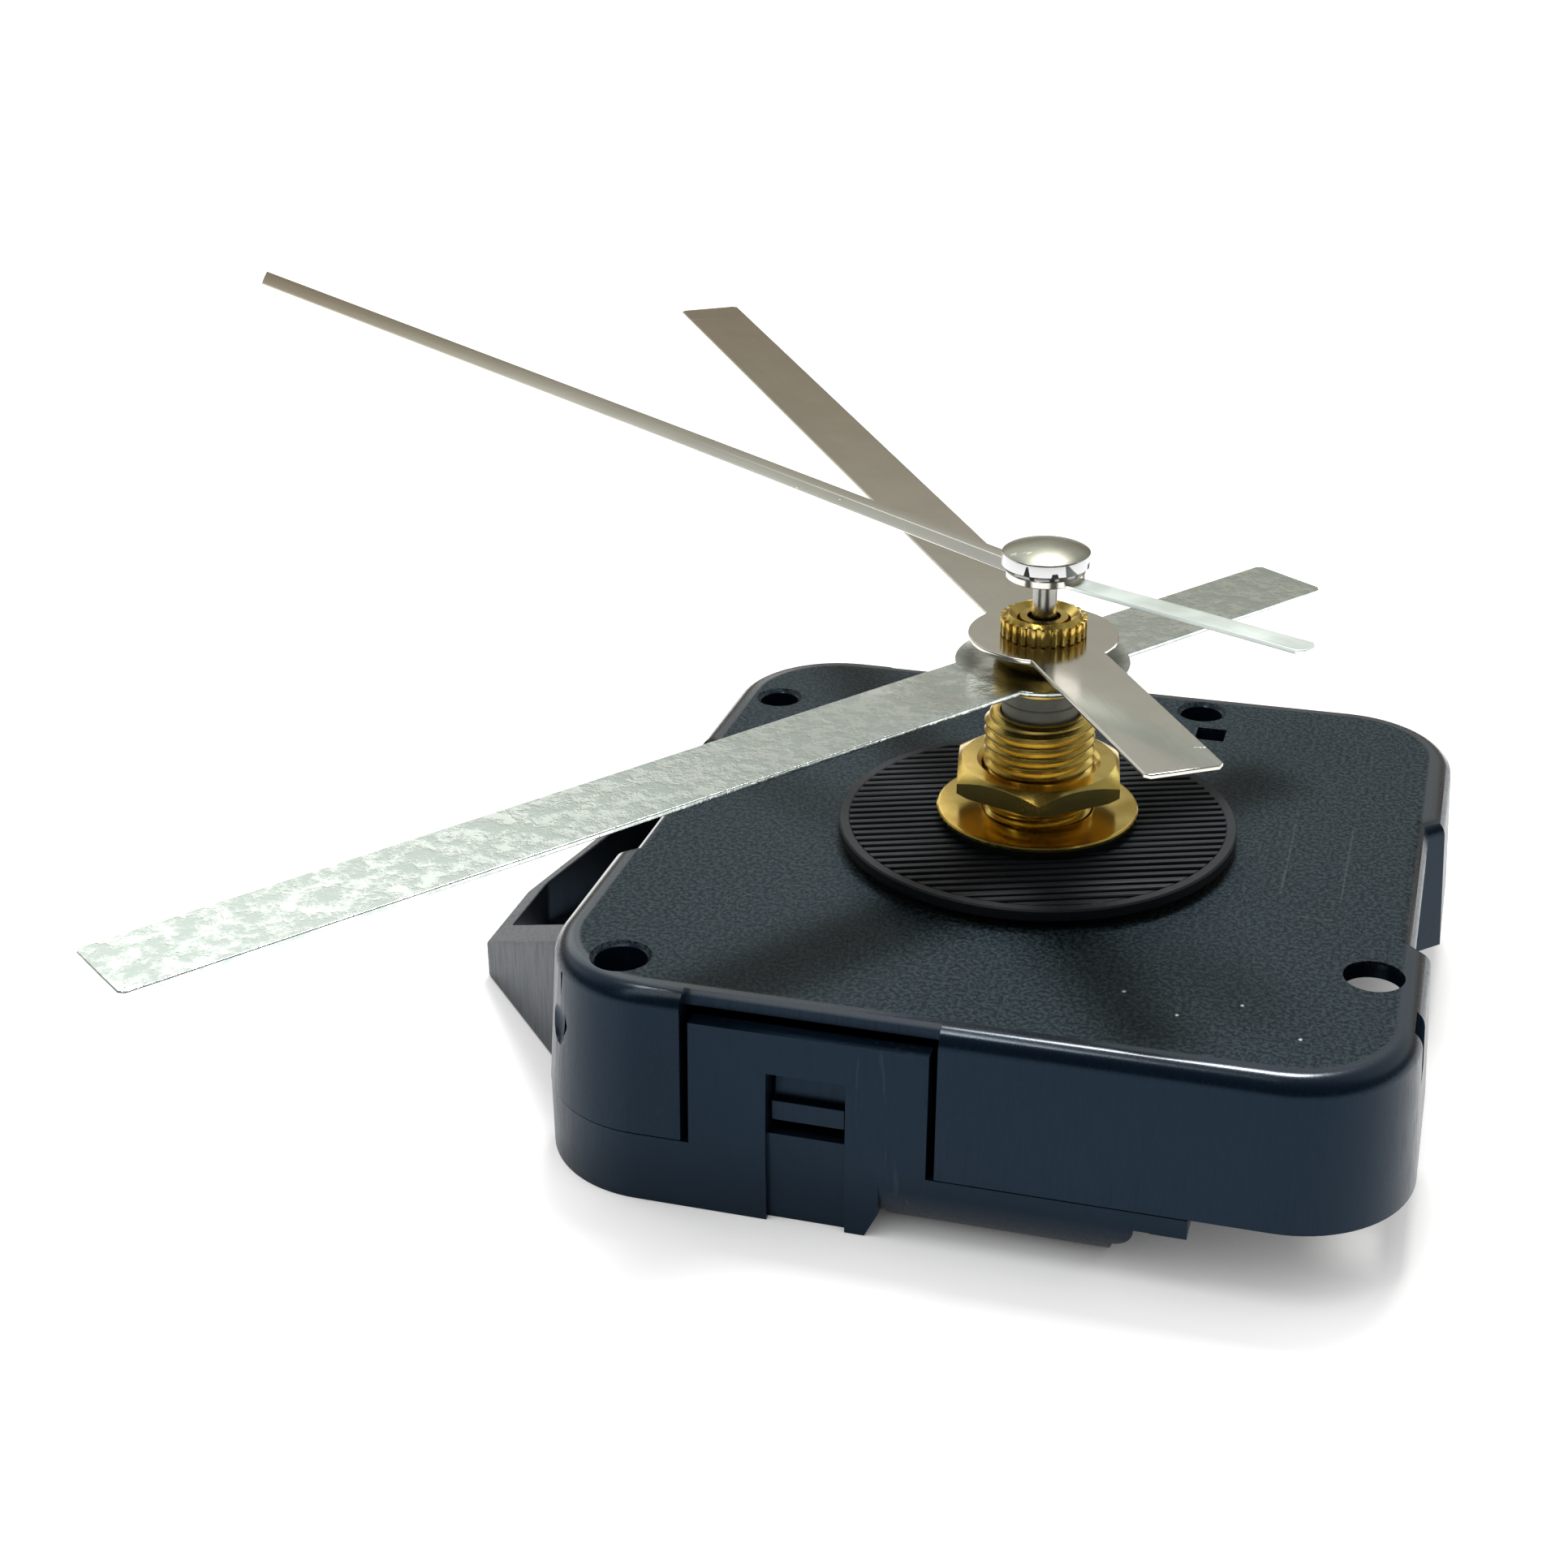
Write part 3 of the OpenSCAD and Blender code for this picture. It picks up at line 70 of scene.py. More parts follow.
# Hands
HOUR_TURN, MINUTE_TURN, SECOND_TURN = 233.8, 122.4, 149.0
HOUR_TOP, MINUTE_TOP, SECOND_ROOT = 13.5, 15.45, 19.7
SHEET = 0.35
SECOND_FLAT, SECOND_END, SECOND_TAIL = 36.0, 98.2, 21.7
SECOND_RISE, SECOND_TAIL_RISE = 1.94, 2.6
CAP_LOW, CAP_RIM, CAP_TOP, CAP_DOME = 20.1, 21.32, 21.97, 7.4

# Camera, in millimetres and degrees
CAMERA_AT = (26.76, -151.46, 77.47)
CAMERA_AZIMUTH, CAMERA_HEIGHT, CAMERA_ROLL = 16.68, 25.62, -0.75
CAMERA_LENS, CAMERA_FILM = 55.37, 36.0

# The room's tones from the horizon up to the zenith, and the way to its window
ROOM_STOPS = ((0.0, (0.2, 0.17, 0.13)), (0.245, (0.22, 0.18, 0.13)), (0.3, (0.3, 0.27, 0.2)),
    (0.345, (0.4, 0.39, 0.33)), (0.43, (0.5, 0.51, 0.47)), (0.6, (0.38, 0.4, 0.39)),
    (1.0, (0.17, 0.17, 0.17)))
WINDOW_WAY = (-0.498, 0.637, 0.588)


# Modelling by hand in code

def alone(piece):
    """Selects one object and nothing else."""
    bpy.ops.object.select_all(action="DESELECT")
    piece.select_set(True)
    bpy.context.view_layer.objects.active = piece


def pick(piece, kind, test):
    """Selects vertices, edges or faces by their place, in millimetres."""
    mesh = piece.data
    for group in (mesh.vertices, mesh.edges, mesh.polygons):
        group.foreach_set("select", [False] * len(group))
    points = [v.co / MM for v in mesh.vertices]
    if kind == "VERT":
        for v in mesh.vertices:
            v.select = test(points[v.index])
    elif kind == "EDGE":
        for e in mesh.edges:
            e.select = test(points[e.vertices[0]], points[e.vertices[1]])
    else:
        for f in mesh.polygons:
            f.select = test(f.center / MM, f.normal)


def edit(piece, kind, *steps):
    """Runs modelling operators in edit mode on what is selected."""
    alone(piece)
    bpy.context.tool_settings.mesh_select_mode = (kind == "VERT", kind == "EDGE", kind == "FACE")
    bpy.ops.object.mode_set(mode="EDIT")
    for step in steps:
        step()
    bpy.ops.object.mode_set(mode="OBJECT")


def whole():
    """Selects the whole mesh, in edit mode."""
    bpy.ops.mesh.select_all(action="SELECT")


def tidy_mesh(piece):
    """Merges doubles and turns every face outwards."""
    edit(piece, "VERT", whole,
        lambda: bpy.ops.mesh.remove_doubles(threshold=0.002 * MM),
        lambda: bpy.ops.mesh.normals_make_consistent(inside=False))
    return piece


def settle(piece):
    """Puts the object's place, turn and size into its mesh."""
    alone(piece)
    bpy.ops.object.transform_apply(location=True, rotation=True, scale=True)
    return piece


def block(name, x0, x1, y0, y1, z0, z1):
    """A cuboid from corner to corner, the start of most moulded pieces."""
    bpy.ops.object.select_all(action="DESELECT")
    bpy.ops.mesh.primitive_cube_add(size=1,
        location=((x0 + x1) / 2 * MM, (y0 + y1) / 2 * MM, (z0 + z1) / 2 * MM),
        scale=((x1 - x0) * MM, (y1 - y0) * MM, (z1 - z0) * MM))
    piece = bpy.context.object
    piece.name = name
    return settle(piece)


def rod(name, at, radius, z0, z1, sides=64, upper=None, turn=0.0):
    """A cylinder or cone along Z."""
    bpy.ops.object.select_all(action="DESELECT")
    bpy.ops.mesh.primitive_cone_add(vertices=sides, radius1=radius * MM,
        radius2=(radius if upper is None else upper) * MM, depth=(z1 - z0) * MM,
        location=(at[0] * MM, at[1] * MM, (z0 + z1) / 2 * MM), rotation=(0, 0, math.radians(turn)))
    piece = bpy.context.object
    piece.name = name
    return settle(piece)


def drawn_line(name, points):
    """A closed line through points in millimetres, extruded point by point from one vertex."""
    bpy.ops.object.select_all(action="DESELECT")
    bpy.ops.mesh.primitive_plane_add(size=MM)
    piece = bpy.context.object
    piece.name = name
    places = [Vector(p) * MM for p in (*points, points[0])]
    bpy.context.tool_settings.mesh_select_mode = (True, False, False)
    bpy.ops.object.mode_set(mode="EDIT")
    whole()
    bpy.ops.mesh.merge(type="CENTER")
    bpy.ops.transform.translate(value=places[0])
    for a, b in zip(places, places[1:]):
        bpy.ops.mesh.extrude_region_move(TRANSFORM_OT_translate={"value": b - a})
    whole()
    bpy.ops.mesh.remove_doubles(threshold=0.001 * MM)
    bpy.ops.object.mode_set(mode="OBJECT")
    return piece


def extrusion(name, outline, axis, start, end):
    """A closed outline drawn across an axis and pulled along it.
    Its points are (y, z) across x, (x, z) across y and (x, y) across z."""
    lay = {"x": lambda a, b: (start, a, b), "y": lambda a, b: (a, start, b),
        "z": lambda a, b: (a, b, start)}[axis]
    pull = Vector([(end - start) * MM if axis == way else 0 for way in "xyz"])
    piece = drawn_line(name, [lay(a, b) for a, b in outline])
    edit(piece, "VERT", whole,
        lambda: bpy.ops.mesh.edge_face_add(),
        lambda: bpy.ops.mesh.extrude_region_move(TRANSFORM_OT_translate={"value": pull}))
    return tidy_mesh(piece)


def turned(name, section, steps=96, at=(0.0, 0.0)):
    """A closed section of (radius, height) spun round the vertical axis."""
    piece = drawn_line(name, [(at[0] + r, at[1], z) for r, z in section])
    edit(piece, "VERT", whole,
        lambda: bpy.ops.mesh.spin(steps=steps, angle=2 * math.pi, center=(at[0] * MM, at[1] * MM, 0),
            axis=(0, 0, 1)))
    return tidy_mesh(piece)


def modify(piece, kind, **settings):
    """Adds one modifier and applies it."""
    alone(piece)
    modifier = piece.modifiers.new(kind.title(), kind)
    for key, value in settings.items():
        setattr(modifier, key, value)
    bpy.ops.object.modifier_apply(modifier=modifier.name)
    return piece


def cut(piece, *tools):
    """Takes tools out of a piece and throws the tools away."""
    for tool in tools:
        modify(piece, "BOOLEAN", operation="DIFFERENCE", solver="EXACT", object=tool)
        bpy.data.objects.remove(tool)
    return piece


def weld(piece, *others):
    """Unites other solids with a piece."""
    for other in others:
        modify(piece, "BOOLEAN", operation="UNION", solver="EXACT", object=other)
        bpy.data.objects.remove(other)
    return piece


def gather(piece, *others):
    """Joins loose copies into one object."""
    alone(piece)
    for other in others:
        other.select_set(True)
    bpy.ops.object.join()
    return piece


def mirrored(piece, name):
    """A copy of a near side piece for the far side."""
    alone(piece)
    bpy.ops.object.duplicate()
    other = bpy.context.object
    other.name = name
    other.scale = (1, -1, 1)
    settle(other)
    return tidy_mesh(other)


def soften(piece, width=0.12, segments=2, angle=32):
    """Breaks the sharp edges of a piece."""
    modify(piece, "BEVEL", width=width * MM, segments=segments, limit_method="ANGLE",
        angle_limit=math.radians(angle), use_clamp_overlap=True, miter_outer="MITER_ARC")
    return piece


def smooth(piece, angle=35):
    """Smooth shading that keeps flat faces flat."""
    alone(piece)
    bpy.ops.object.shade_smooth_by_angle(angle=math.radians(angle))
    modify(piece, "WEIGHTED_NORMAL", keep_sharp=True, weight=80)
    return piece


def place(piece, body, slot, finish, *nodes):
    """Gives a finished piece its body and finish, and hides the CAD nodes that it stands for. Its slot is not
    used.
    """
    settle(piece)
    piece.data.materials.clear()
    piece.data.materials.append(finish)
    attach(piece, body)
    if nodes:
        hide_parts(*nodes)
    return piece


# Finishes

class Number:
    """A value that varies over a surface. Sums written with it become Math nodes."""

    def __init__(self, nodes, socket):
        self.nodes, self.socket = nodes, socket

    def _sum(self, operation, a, b):
        return self.nodes.node("ShaderNodeMath", {"operation": operation}, {0: a, 1: b})

    def __add__(self, other):
        return self._sum("ADD", self, other)

    def __radd__(self, other):
        return self._sum("ADD", other, self)

    def __sub__(self, other):
        return self._sum("SUBTRACT", self, other)

    def __rsub__(self, other):
        return self._sum("SUBTRACT", other, self)

    def __mul__(self, other):
        return self._sum("MULTIPLY", self, other)

    def __rmul__(self, other):
        return self._sum("MULTIPLY", other, self)

    def __pow__(self, other):
        return self._sum("POWER", self, other)

    def __rpow__(self, other):
        return self._sum("POWER", other, self)

    def __abs__(self):
        return self._sum("ABSOLUTE", self, 0.0)

    def most(self, other):
        """The larger of two values."""
        return self._sum("MAXIMUM", self, other)

    def least(self, other):
        """The smaller of two values."""
        return self._sum("MINIMUM", self, other)


class Nodes:
    """The node tree of a material or of the world, with the coordinates that it varies over."""

    def __init__(self, owner, ending, coordinates):
        owner.use_nodes = True
        self.tree = owner.node_tree
        self.tree.nodes.clear()
        self.ending = self.tree.nodes.new(ending)
        self.place = self.node("ShaderNodeTexCoord", out=coordinates)

    def node(self, kind, settings=None, sockets=None, out=0):
        """Adds any node: its settings first, then the values or links of its sockets."""
        node = self.tree.nodes.new(kind)
        for key, value in (settings or {}).items():
            if key == "stops":
                ramp = node.color_ramp
                while len(ramp.elements) < len(value):
                    ramp.elements.new(0.5)
                for element, (position, colour) in zip(ramp.elements, value):
                    element.position = position
                    element.color = (*colour, 1)
            else:
                setattr(node, key, value)
        for key, value in (sockets or {}).items():
            self.feed(node.inputs[key], value)
        return Number(self, node.outputs[out])

    def feed(self, socket, value):
        """Links a value to a socket, or sets the socket. A colour of three numbers is opaque."""
        if isinstance(value, Number):
            self.tree.links.new(value.socket, socket)
        elif hasattr(socket.default_value, "__len__") and len(socket.default_value) == 4 and len(value) == 3:
            socket.default_value = (*value, 1)
        else:
            socket.default_value = value

    def end_in(self, shader):
        """Makes a shader the tree's result."""
        self.feed(self.ending.inputs["Surface"], shader)

    def along(self, way, where=None):
        """One part of the coordinates."""
        return self.node("ShaderNodeSeparateXYZ", None, {0: where or self.place}, "XYZ".index(way))

    def ease(self, value, low, high, to=(0.0, 1.0)):
        """Maps a value from low..high to a range, with soft ends."""
        return self.node("ShaderNodeMapRange", {"interpolation_type": "SMOOTHSTEP"},
            {0: value, 1: low, 2: high, 3: to[0], 4: to[1]})


class Finish(Nodes):
    """A procedural material, from its object coordinates to its shader."""

    def __init__(self, name, **fixed):
        self.material = bpy.data.materials.new(name)
        super().__init__(self.material, "ShaderNodeOutputMaterial", "Object")
        self.shader = self.tree.nodes.new("ShaderNodeBsdfPrincipled")
        self.plain = Number(self, self.shader.outputs[0])
        self.end_in(self.plain)
        self.paint(**fixed)

    def paint(self, **links):
        """Sets or links sockets of the shader, and gives the finished material."""
        for key, value in links.items():
            self.feed(self.shader.inputs[key.replace("_", " ")], value)
        return self.material

    def stretch(self, size=(1, 1, 1), turn=0.0):
        """Object coordinates, turned about Z and stretched."""
        spun = self.node("ShaderNodeMapping", None,
            {"Vector": self.place, "Rotation": (0, 0, math.radians(turn))})
        return self.node("ShaderNodeVectorMath", {"operation": "MULTIPLY"}, {0: spun, 1: size})

    def noise(self, grain, detail=3.0, where=None, rough=0.55):
        """Soft noise with grains of a size in millimetres."""
        return self.node("ShaderNodeTexNoise", None, {"Vector": where or self.place,
            "Scale": 1 / MM / grain, "Detail": detail, "Roughness": rough})

    def cells(self, grain):
        """Distance to the nearest of many scattered points, a size in millimetres apart."""
        return self.node("ShaderNodeTexVoronoi", None, {"Vector": self.place, "Scale": 1 / MM / grain})

    def mix(self, share, a, b):
        """A colour between two others."""
        return self.node("ShaderNodeMix", {"data_type": "RGBA"}, {0: share, 6: a, 7: b}, 2)

    def bump(self, height, depth, strength=1.0, under=None):
        """Relief with a depth in millimetres."""
        sockets = {"Height": height, "Distance": depth * MM, "Strength": strength}
        if under:
            sockets["Normal"] = under
        return self.node("ShaderNodeBump", None, sockets)


def tone(r, g, b):
    """A colour read from a screen, as light."""
    return tuple(((c / 255 + 0.055) / 1.055) ** 2.4 if c > 10 else c / 255 / 12.92 for c in (r, g, b))


def moulded(name, skin, shade, gloss, grained_with_glints=False):
    """Black moulded plastic with a cold sheen. The grained one has the front face's cast grain with painted
    glints, dust and faint lines inside a glossy rim. The plain one has faint upright drag marks beside the
    window."""
    f = Finish(name, Specular_IOR_Level=0.32, Specular_Tint=(0.42, 0.68, 1.0, 1), Coat_Roughness=0.2)
    cloud = f.noise(9, 4)
    fine = f.noise(0.35, 2)
    streak = f.noise(1.2, 3, f.stretch((6, 6, 0.35)))
    base = f.mix(f.ease(cloud, 0.35, 0.7), tone(*skin), tone(*shade))
    rough = gloss + 0.12 * f.ease(streak, 0.4, 0.75) + 0.05 * fine
    relief = f.bump(fine, 0.004)
    x, y, z = (f.along(way) for way in "XYZ")
    if not grained_with_glints:
        drag = f.ease(f.noise(0.5, 2, f.stretch((1, 1, 0.06))), 0.62, 0.7)
        drag = drag * f.ease(abs(x + 4 * MM), 3.2 * MM, 1.5 * MM)
        base = f.mix(drag * 0.2, base, tone(92, 104, 112))
        return f.paint(Base_Color=base, Roughness=rough, Normal=relief)
    qx = abs(x - CASE_MID * MM) - (FACE_HALF - CORNER) * MM
    qy = abs(y) - (FACE_HALF - CORNER) * MM
    round_part = (qx.most(0.0) ** 2.0 + qy.most(0.0) ** 2.0) ** 0.5
    inside = CORNER * MM - round_part - qx.most(qy).least(0.0)
    face = f.ease(inside, 1.5 * MM, 1.75 * MM) * f.ease(z, -0.3 * MM, -0.1 * MM)
    rim = f.ease(z, -0.6 * MM, -0.25 * MM) * (1.0 - face)
    grain = f.noise(0.3, 4, rough=0.75)
    grain_and_glints = f.mix(f.ease(grain, 0.46, 0.56), tone(4, 8, 10), tone(53, 65, 66))
    # painted glints: bright specks in the face's colour stand in for light glinting off the grain
    painted_glint = f.ease(f.cells(0.3), 0.0, 0.14, (1.0, 0.0)) * f.ease(f.noise(0.6, 2), 0.54, 0.6)
    grain_and_glints = f.mix(painted_glint * 0.6, grain_and_glints, tone(150, 164, 160))
    dust = 0.0
    for dust_x, dust_y in DUST:
        away = ((x - dust_x * MM) ** 2.0 + ((y - dust_y * MM) * 0.8) ** 2.0) ** 0.5
        dust = f.ease(away + 0.1 * MM * fine, 0.1 * MM, 0.2 * MM, (1.0, 0.0)) + dust
    side = f.ease(abs(abs(x - MARK_X * MM) - MARK_HALF * MM), 0.02 * MM, 0.1 * MM, (1.0, 0.0))
    side = side * f.ease(abs(y - MARK_Y * MM), 5.0 * MM, 6.2 * MM, (1.0, 0.0))
    foot = f.ease(abs(y - MARK_FOOT * MM), 0.02 * MM, 0.1 * MM, (1.0, 0.0))
    foot = foot * f.ease(abs(x - MARK_X * MM), 1.6 * MM, MARK_HALF * MM, (1.0, 0.0))
    grain_and_glints = f.mix((side + foot) * 0.16, grain_and_glints, tone(128, 140, 134))
    base = f.mix(dust.least(1.0), f.mix(face, base, grain_and_glints), tone(235, 235, 230))
    rough = rough + face * (0.08 + 0.14 * grain) - rim * 0.08
    relief = f.bump(grain, 0.09, face, relief)
    return f.paint(Base_Color=base, Roughness=rough, Normal=relief, Coat_Weight=rim)


def brass(name, rub=0.16, turned_rings=True):
    """Polished brass with turning marks and a faint stain."""
    f = Finish(name, Metallic=1.0)
    stain = f.ease(f.noise(3.5, 4), 0.35, 0.75)
    lines = f.noise(0.12, 2, f.stretch((0.15, 0.15, 1.0))) if turned_rings else f.noise(0.25, 3)
    base = f.mix(stain, tone(226, 198, 112), tone(196, 164, 78))
    return f.paint(Base_Color=base, Roughness=rub + 0.1 * stain + 0.08 * lines, Normal=f.bump(lines, 0.004))


def sheet_metal(name, light, dark, rub, turn, mottled=0.0, rolled=0.1, painted_hub_shade=False, painted_light=False):
    """Rolled sheet for the hands: rolling lines along the hand, spangle and scratches. One kind has painted
    shade round its hub, under the minute hand's hub. Another has a painted highlight line from its hub, a
    brown painted reflection towards its tip and a rougher tail with painted light."""
    f = Finish(name, Metallic=1.0)
    lines = f.noise(0.3, 3, f.stretch((0.05, 1.0, 1.0), -turn))
    spangle = f.ease(f.noise(1.5, 4, rough=0.75), 0.4, 0.6)
    across = f.noise(0.35, 2, f.stretch((1.0, 0.04, 1.0), 12 - turn))
    scratch = f.ease(across, 0.7, 0.74) * f.ease(f.noise(4, 2), 0.5, 0.62)
    worn = f.ease(f.noise(6, 3), 0.35, 0.7)
    base = f.mix(spangle * mottled + worn * (1 - mottled) * 0.6, tone(*light), tone(*dark))
    base = f.mix(scratch * 0.6, base, tone(246, 246, 240))
    if painted_light:
        straight = f.stretch(turn=-turn)
        x = f.along("X", straight)
        # painted highlight: a bright line along the blade's ridge near the hub
        crease_highlight = f.ease(abs(f.along("Y", straight)), 0.04 * MM, 0.12 * MM, (1.0, 0.0))
        crease_highlight = crease_highlight * f.ease(x, 14 * MM, 44 * MM, (1.0, 0.0)) * f.ease(x, 0.0, 2 * MM)
        base = f.mix(crease_highlight * 0.6, base, tone(255, 255, 250))
        # painted reflection: browner towards the tip, where the blade reflects the brown room
        base = f.mix(f.ease(x, 30 * MM, 96 * MM, (0.0, 0.7)), base, tone(172, 158, 132))
        # painted light: the tail is painted brighter, as if lit, and is also made rougher
        tail = f.ease(x, -2.6 * MM, -3.4 * MM)
        base = f.mix(tail, base, tone(240, 250, 246))
        rub = rub + crease_highlight * 0.2 + tail * (0.2 + 0.1 * worn)
    # painted shade: darker round the hub, where the minute hand's hub sits over it
    if painted_hub_shade:
        out = (f.along("X") ** 2.0 + f.along("Y") ** 2.0) ** 0.5
        base = f.mix(f.ease(out, 4.9 * MM, 6.6 * MM, (0.85, 0.0)), base, tone(88, 88, 76))
    return f.paint(Base_Color=base, Roughness=rub + rolled * lines + 0.09 * spangle * mottled,
        Normal=f.bump(lines * 0.5 + spangle * mottled * 1.5 + scratch, 0.006))


def cap_metal(name):
    """Pressed cap: a mirror band under a rubbed, lightly scratched top."""
    f = Finish(name, Metallic=1.0)
    top = f.ease(f.along("Z"), (CAP_RIM - 0.04) * MM, (CAP_RIM + 0.04) * MM)
    scratch = f.ease(f.noise(0.4, 2, f.stretch((1.0, 0.08, 1.0), 50)), 0.68, 0.74) * top
    cloud = f.noise(1.6, 4)
    base = f.mix(top, tone(206, 206, 208), tone(160, 160, 147))
    base = f.mix(scratch * 0.6, base, tone(244, 244, 238))
    return f.paint(Base_Color=base, Roughness=0.05 + top * (0.22 + 0.16 * cloud),
        Normal=f.bump(cloud * top, 0.006))


def plain_metal(name, colour, rub):
    """Drawn or turned bright metal."""
    f = Finish(name, Metallic=1.0)
    lines = f.noise(0.2, 2, f.stretch((1.0, 1.0, 0.12)))
    base = f.mix(f.ease(f.noise(2, 3), 0.3, 0.7), tone(*colour), tone(*(c * 0.86 for c in colour)))
    return f.paint(Base_Color=base, Roughness=rub + 0.1 * lines, Normal=f.bump(lines, 0.004))


def soft_plastic(name, colour, rub=0.4, through=0.0):
    """Nylon, moulded wheels and plates, and resin."""
    f = Finish(name, Subsurface_Weight=through, Subsurface_Scale=0.002)
    cloud = f.noise(2.5, 3)
    base = f.mix(f.ease(cloud, 0.3, 0.7), tone(*colour), tone(*(c * 0.9 for c in colour)))
    return f.paint(Base_Color=base, Roughness=rub + 0.1 * f.noise(0.4, 2),
        Normal=f.bump(f.noise(0.3, 2), 0.006))


def rubber():
    """Dark, matt gasket rubber with a little dust."""
    f = Finish("gasket_rubber_finish", Specular_IOR_Level=0.35)
    dust = f.ease(f.cells(0.8), 0.0, 0.07, (1.0, 0.0)) * f.ease(f.noise(5, 2), 0.5, 0.6)
    base = f.mix(f.noise(4, 3), tone(22, 28, 34), tone(30, 38, 46))
    base = f.mix(dust * 0.6, base, tone(170, 176, 176))
    return f.paint(Base_Color=base, Roughness=0.42 + 0.18 * f.noise(0.6, 3),
        Normal=f.bump(f.noise(0.25, 3), 0.01))


def copper():
    """Varnished wire, with its turns as bands of painted shade: lighter along each turn, darker between
    turns.
    """
    f = Finish("copper_wire_finish", Metallic=1.0)
    # painted shade: the bands are lighter on each turn and darker in the grooves between turns
    turns = f.node("ShaderNodeTexWave", {"bands_direction": "Y"},
        {"Vector": f.place, "Scale": 1 / MM / 0.6, "Distortion": 0.2}, 1)
    base = f.mix(turns, tone(150, 70, 34), tone(214, 120, 66))
    return f.paint(Base_Color=base, Roughness=0.28 + 0.1 * f.noise(1, 2), Normal=f.bump(turns, 0.05))


def board():
    """Green circuit board with lighter tracks."""
    f = Finish("board_green_finish", Coat_Weight=0.4)
    tracks = f.ease(f.noise(1.6, 0, f.stretch((1, 0.35, 1))), 0.47, 0.5)
    base = f.mix(tracks, tone(18, 74, 36), tone(44, 108, 58))
    return f.paint(Base_Color=base, Roughness=0.3 + 0.1 * f.noise(0.6, 2), Normal=f.bump(tracks, 0.03))


CASE_SKIN = moulded("case_black_grained", (15, 28, 43), (18, 34, 50), 0.24, True)
COVER_SKIN = moulded("case_black_smooth", (17, 30, 45), (21, 36, 52), 0.3)
HANGER_SKIN = moulded("case_black_hanger", (26, 30, 34), (31, 34, 37), 0.34)
KNOB_SKIN = moulded("case_black_knob", (18, 24, 31), (24, 30, 38), 0.4)
BRASS = brass("brass_turned")
NUT_BRASS = brass("brass_nut", 0.15, False)
WASHER_BRASS = brass("brass_washer", 0.1, False)
HOUR_SHEET = sheet_metal("hand_sheet_hour", (240, 246, 244), (206, 216, 213), 0.11, HOUR_TURN, mottled=1.0,
    rolled=0.08, painted_hub_shade=True)
MINUTE_SHEET = sheet_metal("hand_sheet_minute", (226, 222, 214), (214, 210, 202), 0.13, MINUTE_TURN,
    mottled=0.05, rolled=0.05)
SECOND_SHEET = sheet_metal("hand_sheet_second", (228, 226, 220), (216, 213, 206), 0.14, SECOND_TURN,
    rolled=0.05, painted_light=True)
CAP_METAL = cap_metal("hand_sheet_cap")
STEEL = plain_metal("steel_polished", (166, 166, 160), 0.2)
SHEET_STEEL = plain_metal("steel_sheet", (176, 178, 180), 0.28)
NYLON = soft_plastic("nylon_grey", (152, 152, 143), 0.32, 0.3)
WHITE = soft_plastic("plastic_white", (224, 222, 212))
RESIN = soft_plastic("resin_black", (28, 28, 30), 0.2)
RUBBER = rubber()
COPPER = copper()
BOARD = board()

NODE_FINISH = {
    "middle_plate": WHITE, "train_bridge": WHITE, "coil_bobbin": WHITE, "second_wheel": WHITE,
    "third_wheel": WHITE, "centre_wheel": WHITE, "intermediate_wheel": WHITE, "rotor_pinion": WHITE,
    "setting_wheel": WHITE, "hour_wheel": NYLON, "stator": SHEET_STEEL, "coil_core": SHEET_STEEL,
    "positive_contact": SHEET_STEEL, "negative_contact": SHEET_STEEL, "quartz_crystal": SHEET_STEEL,
    "coil_winding": COPPER, "circuit_board": BOARD, "chip_cover": RESIN, "rotor_magnet": RESIN,
    "second_arbor": STEEL, "third_arbor": STEEL, "intermediate_arbor": STEEL, "setting_stem": STEEL,
    "minute_tube": BRASS}
for node_name, finish in NODE_FINISH.items():
    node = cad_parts[node_name]
    node.data.materials.clear()
    node.data.materials.append(finish)


# Case

def sloped_box(name, x0, x1, half, z0, z1, out):
    """A cuboid whose lower face is larger by out on every side."""
    piece = block(name, x0, x1, -half, half, z0, z1)
    pick(piece, "FACE", lambda c, n: n.z < -0.9)
    mid = ((x0 + x1) / 2 * MM, 0, z0 * MM)
    edit(piece, "FACE", lambda: bpy.ops.transform.resize(
        value=(1 + 2 * out / (x1 - x0), 1 + out / half, 1), center_override=mid))
    return piece


def round_edges(piece, test, radius, segments):
    """Rounds the edges that pass a test."""
    pick(piece, "EDGE", test)
    edit(piece, "EDGE", lambda: bpy.ops.mesh.bevel(offset=radius * MM, segments=segments, affect="EDGES",
        profile=0.5))
    return piece


def upright(a, b):
    """True for an edge that stands, also in a wall that leans a little."""
    return abs(a.z - b.z) > 2 and abs(a.x - b.x) < 1.5 and abs(a.y - b.y) < 1.5


def side_recess(name, floor):
    """Cutter for a shallow recess in a side wall, with ends at 45 degrees."""
    beside = math.copysign(BESIDE, floor)
    mouth = RECESS_HALF + BESIDE - abs(floor)
    return extrusion(name, [(beside, -mouth), (floor, -RECESS_HALF), (floor, RECESS_HALF), (beside, mouth)],
        "z", BELOW, ABOVE)


def face_hole(key, at, radius):
    """Cutter for a screw hole with a small chamfer at its mouth."""
    tool = rod("hole_" + key, at, radius, HOLE_END, ABOVE)
    return weld(tool, rod("mouth_" + key, at, radius, -0.3, ABOVE, upper=radius + 1.3))


def boss(key, at, radius, outer):
    """The tube behind a screw hole."""
    core = rod("core_" + key, at, radius, HOLE_END, ABOVE)
    return cut(rod("boss_" + key, at, outer, BOSS_END, BOSS_TOP), core)


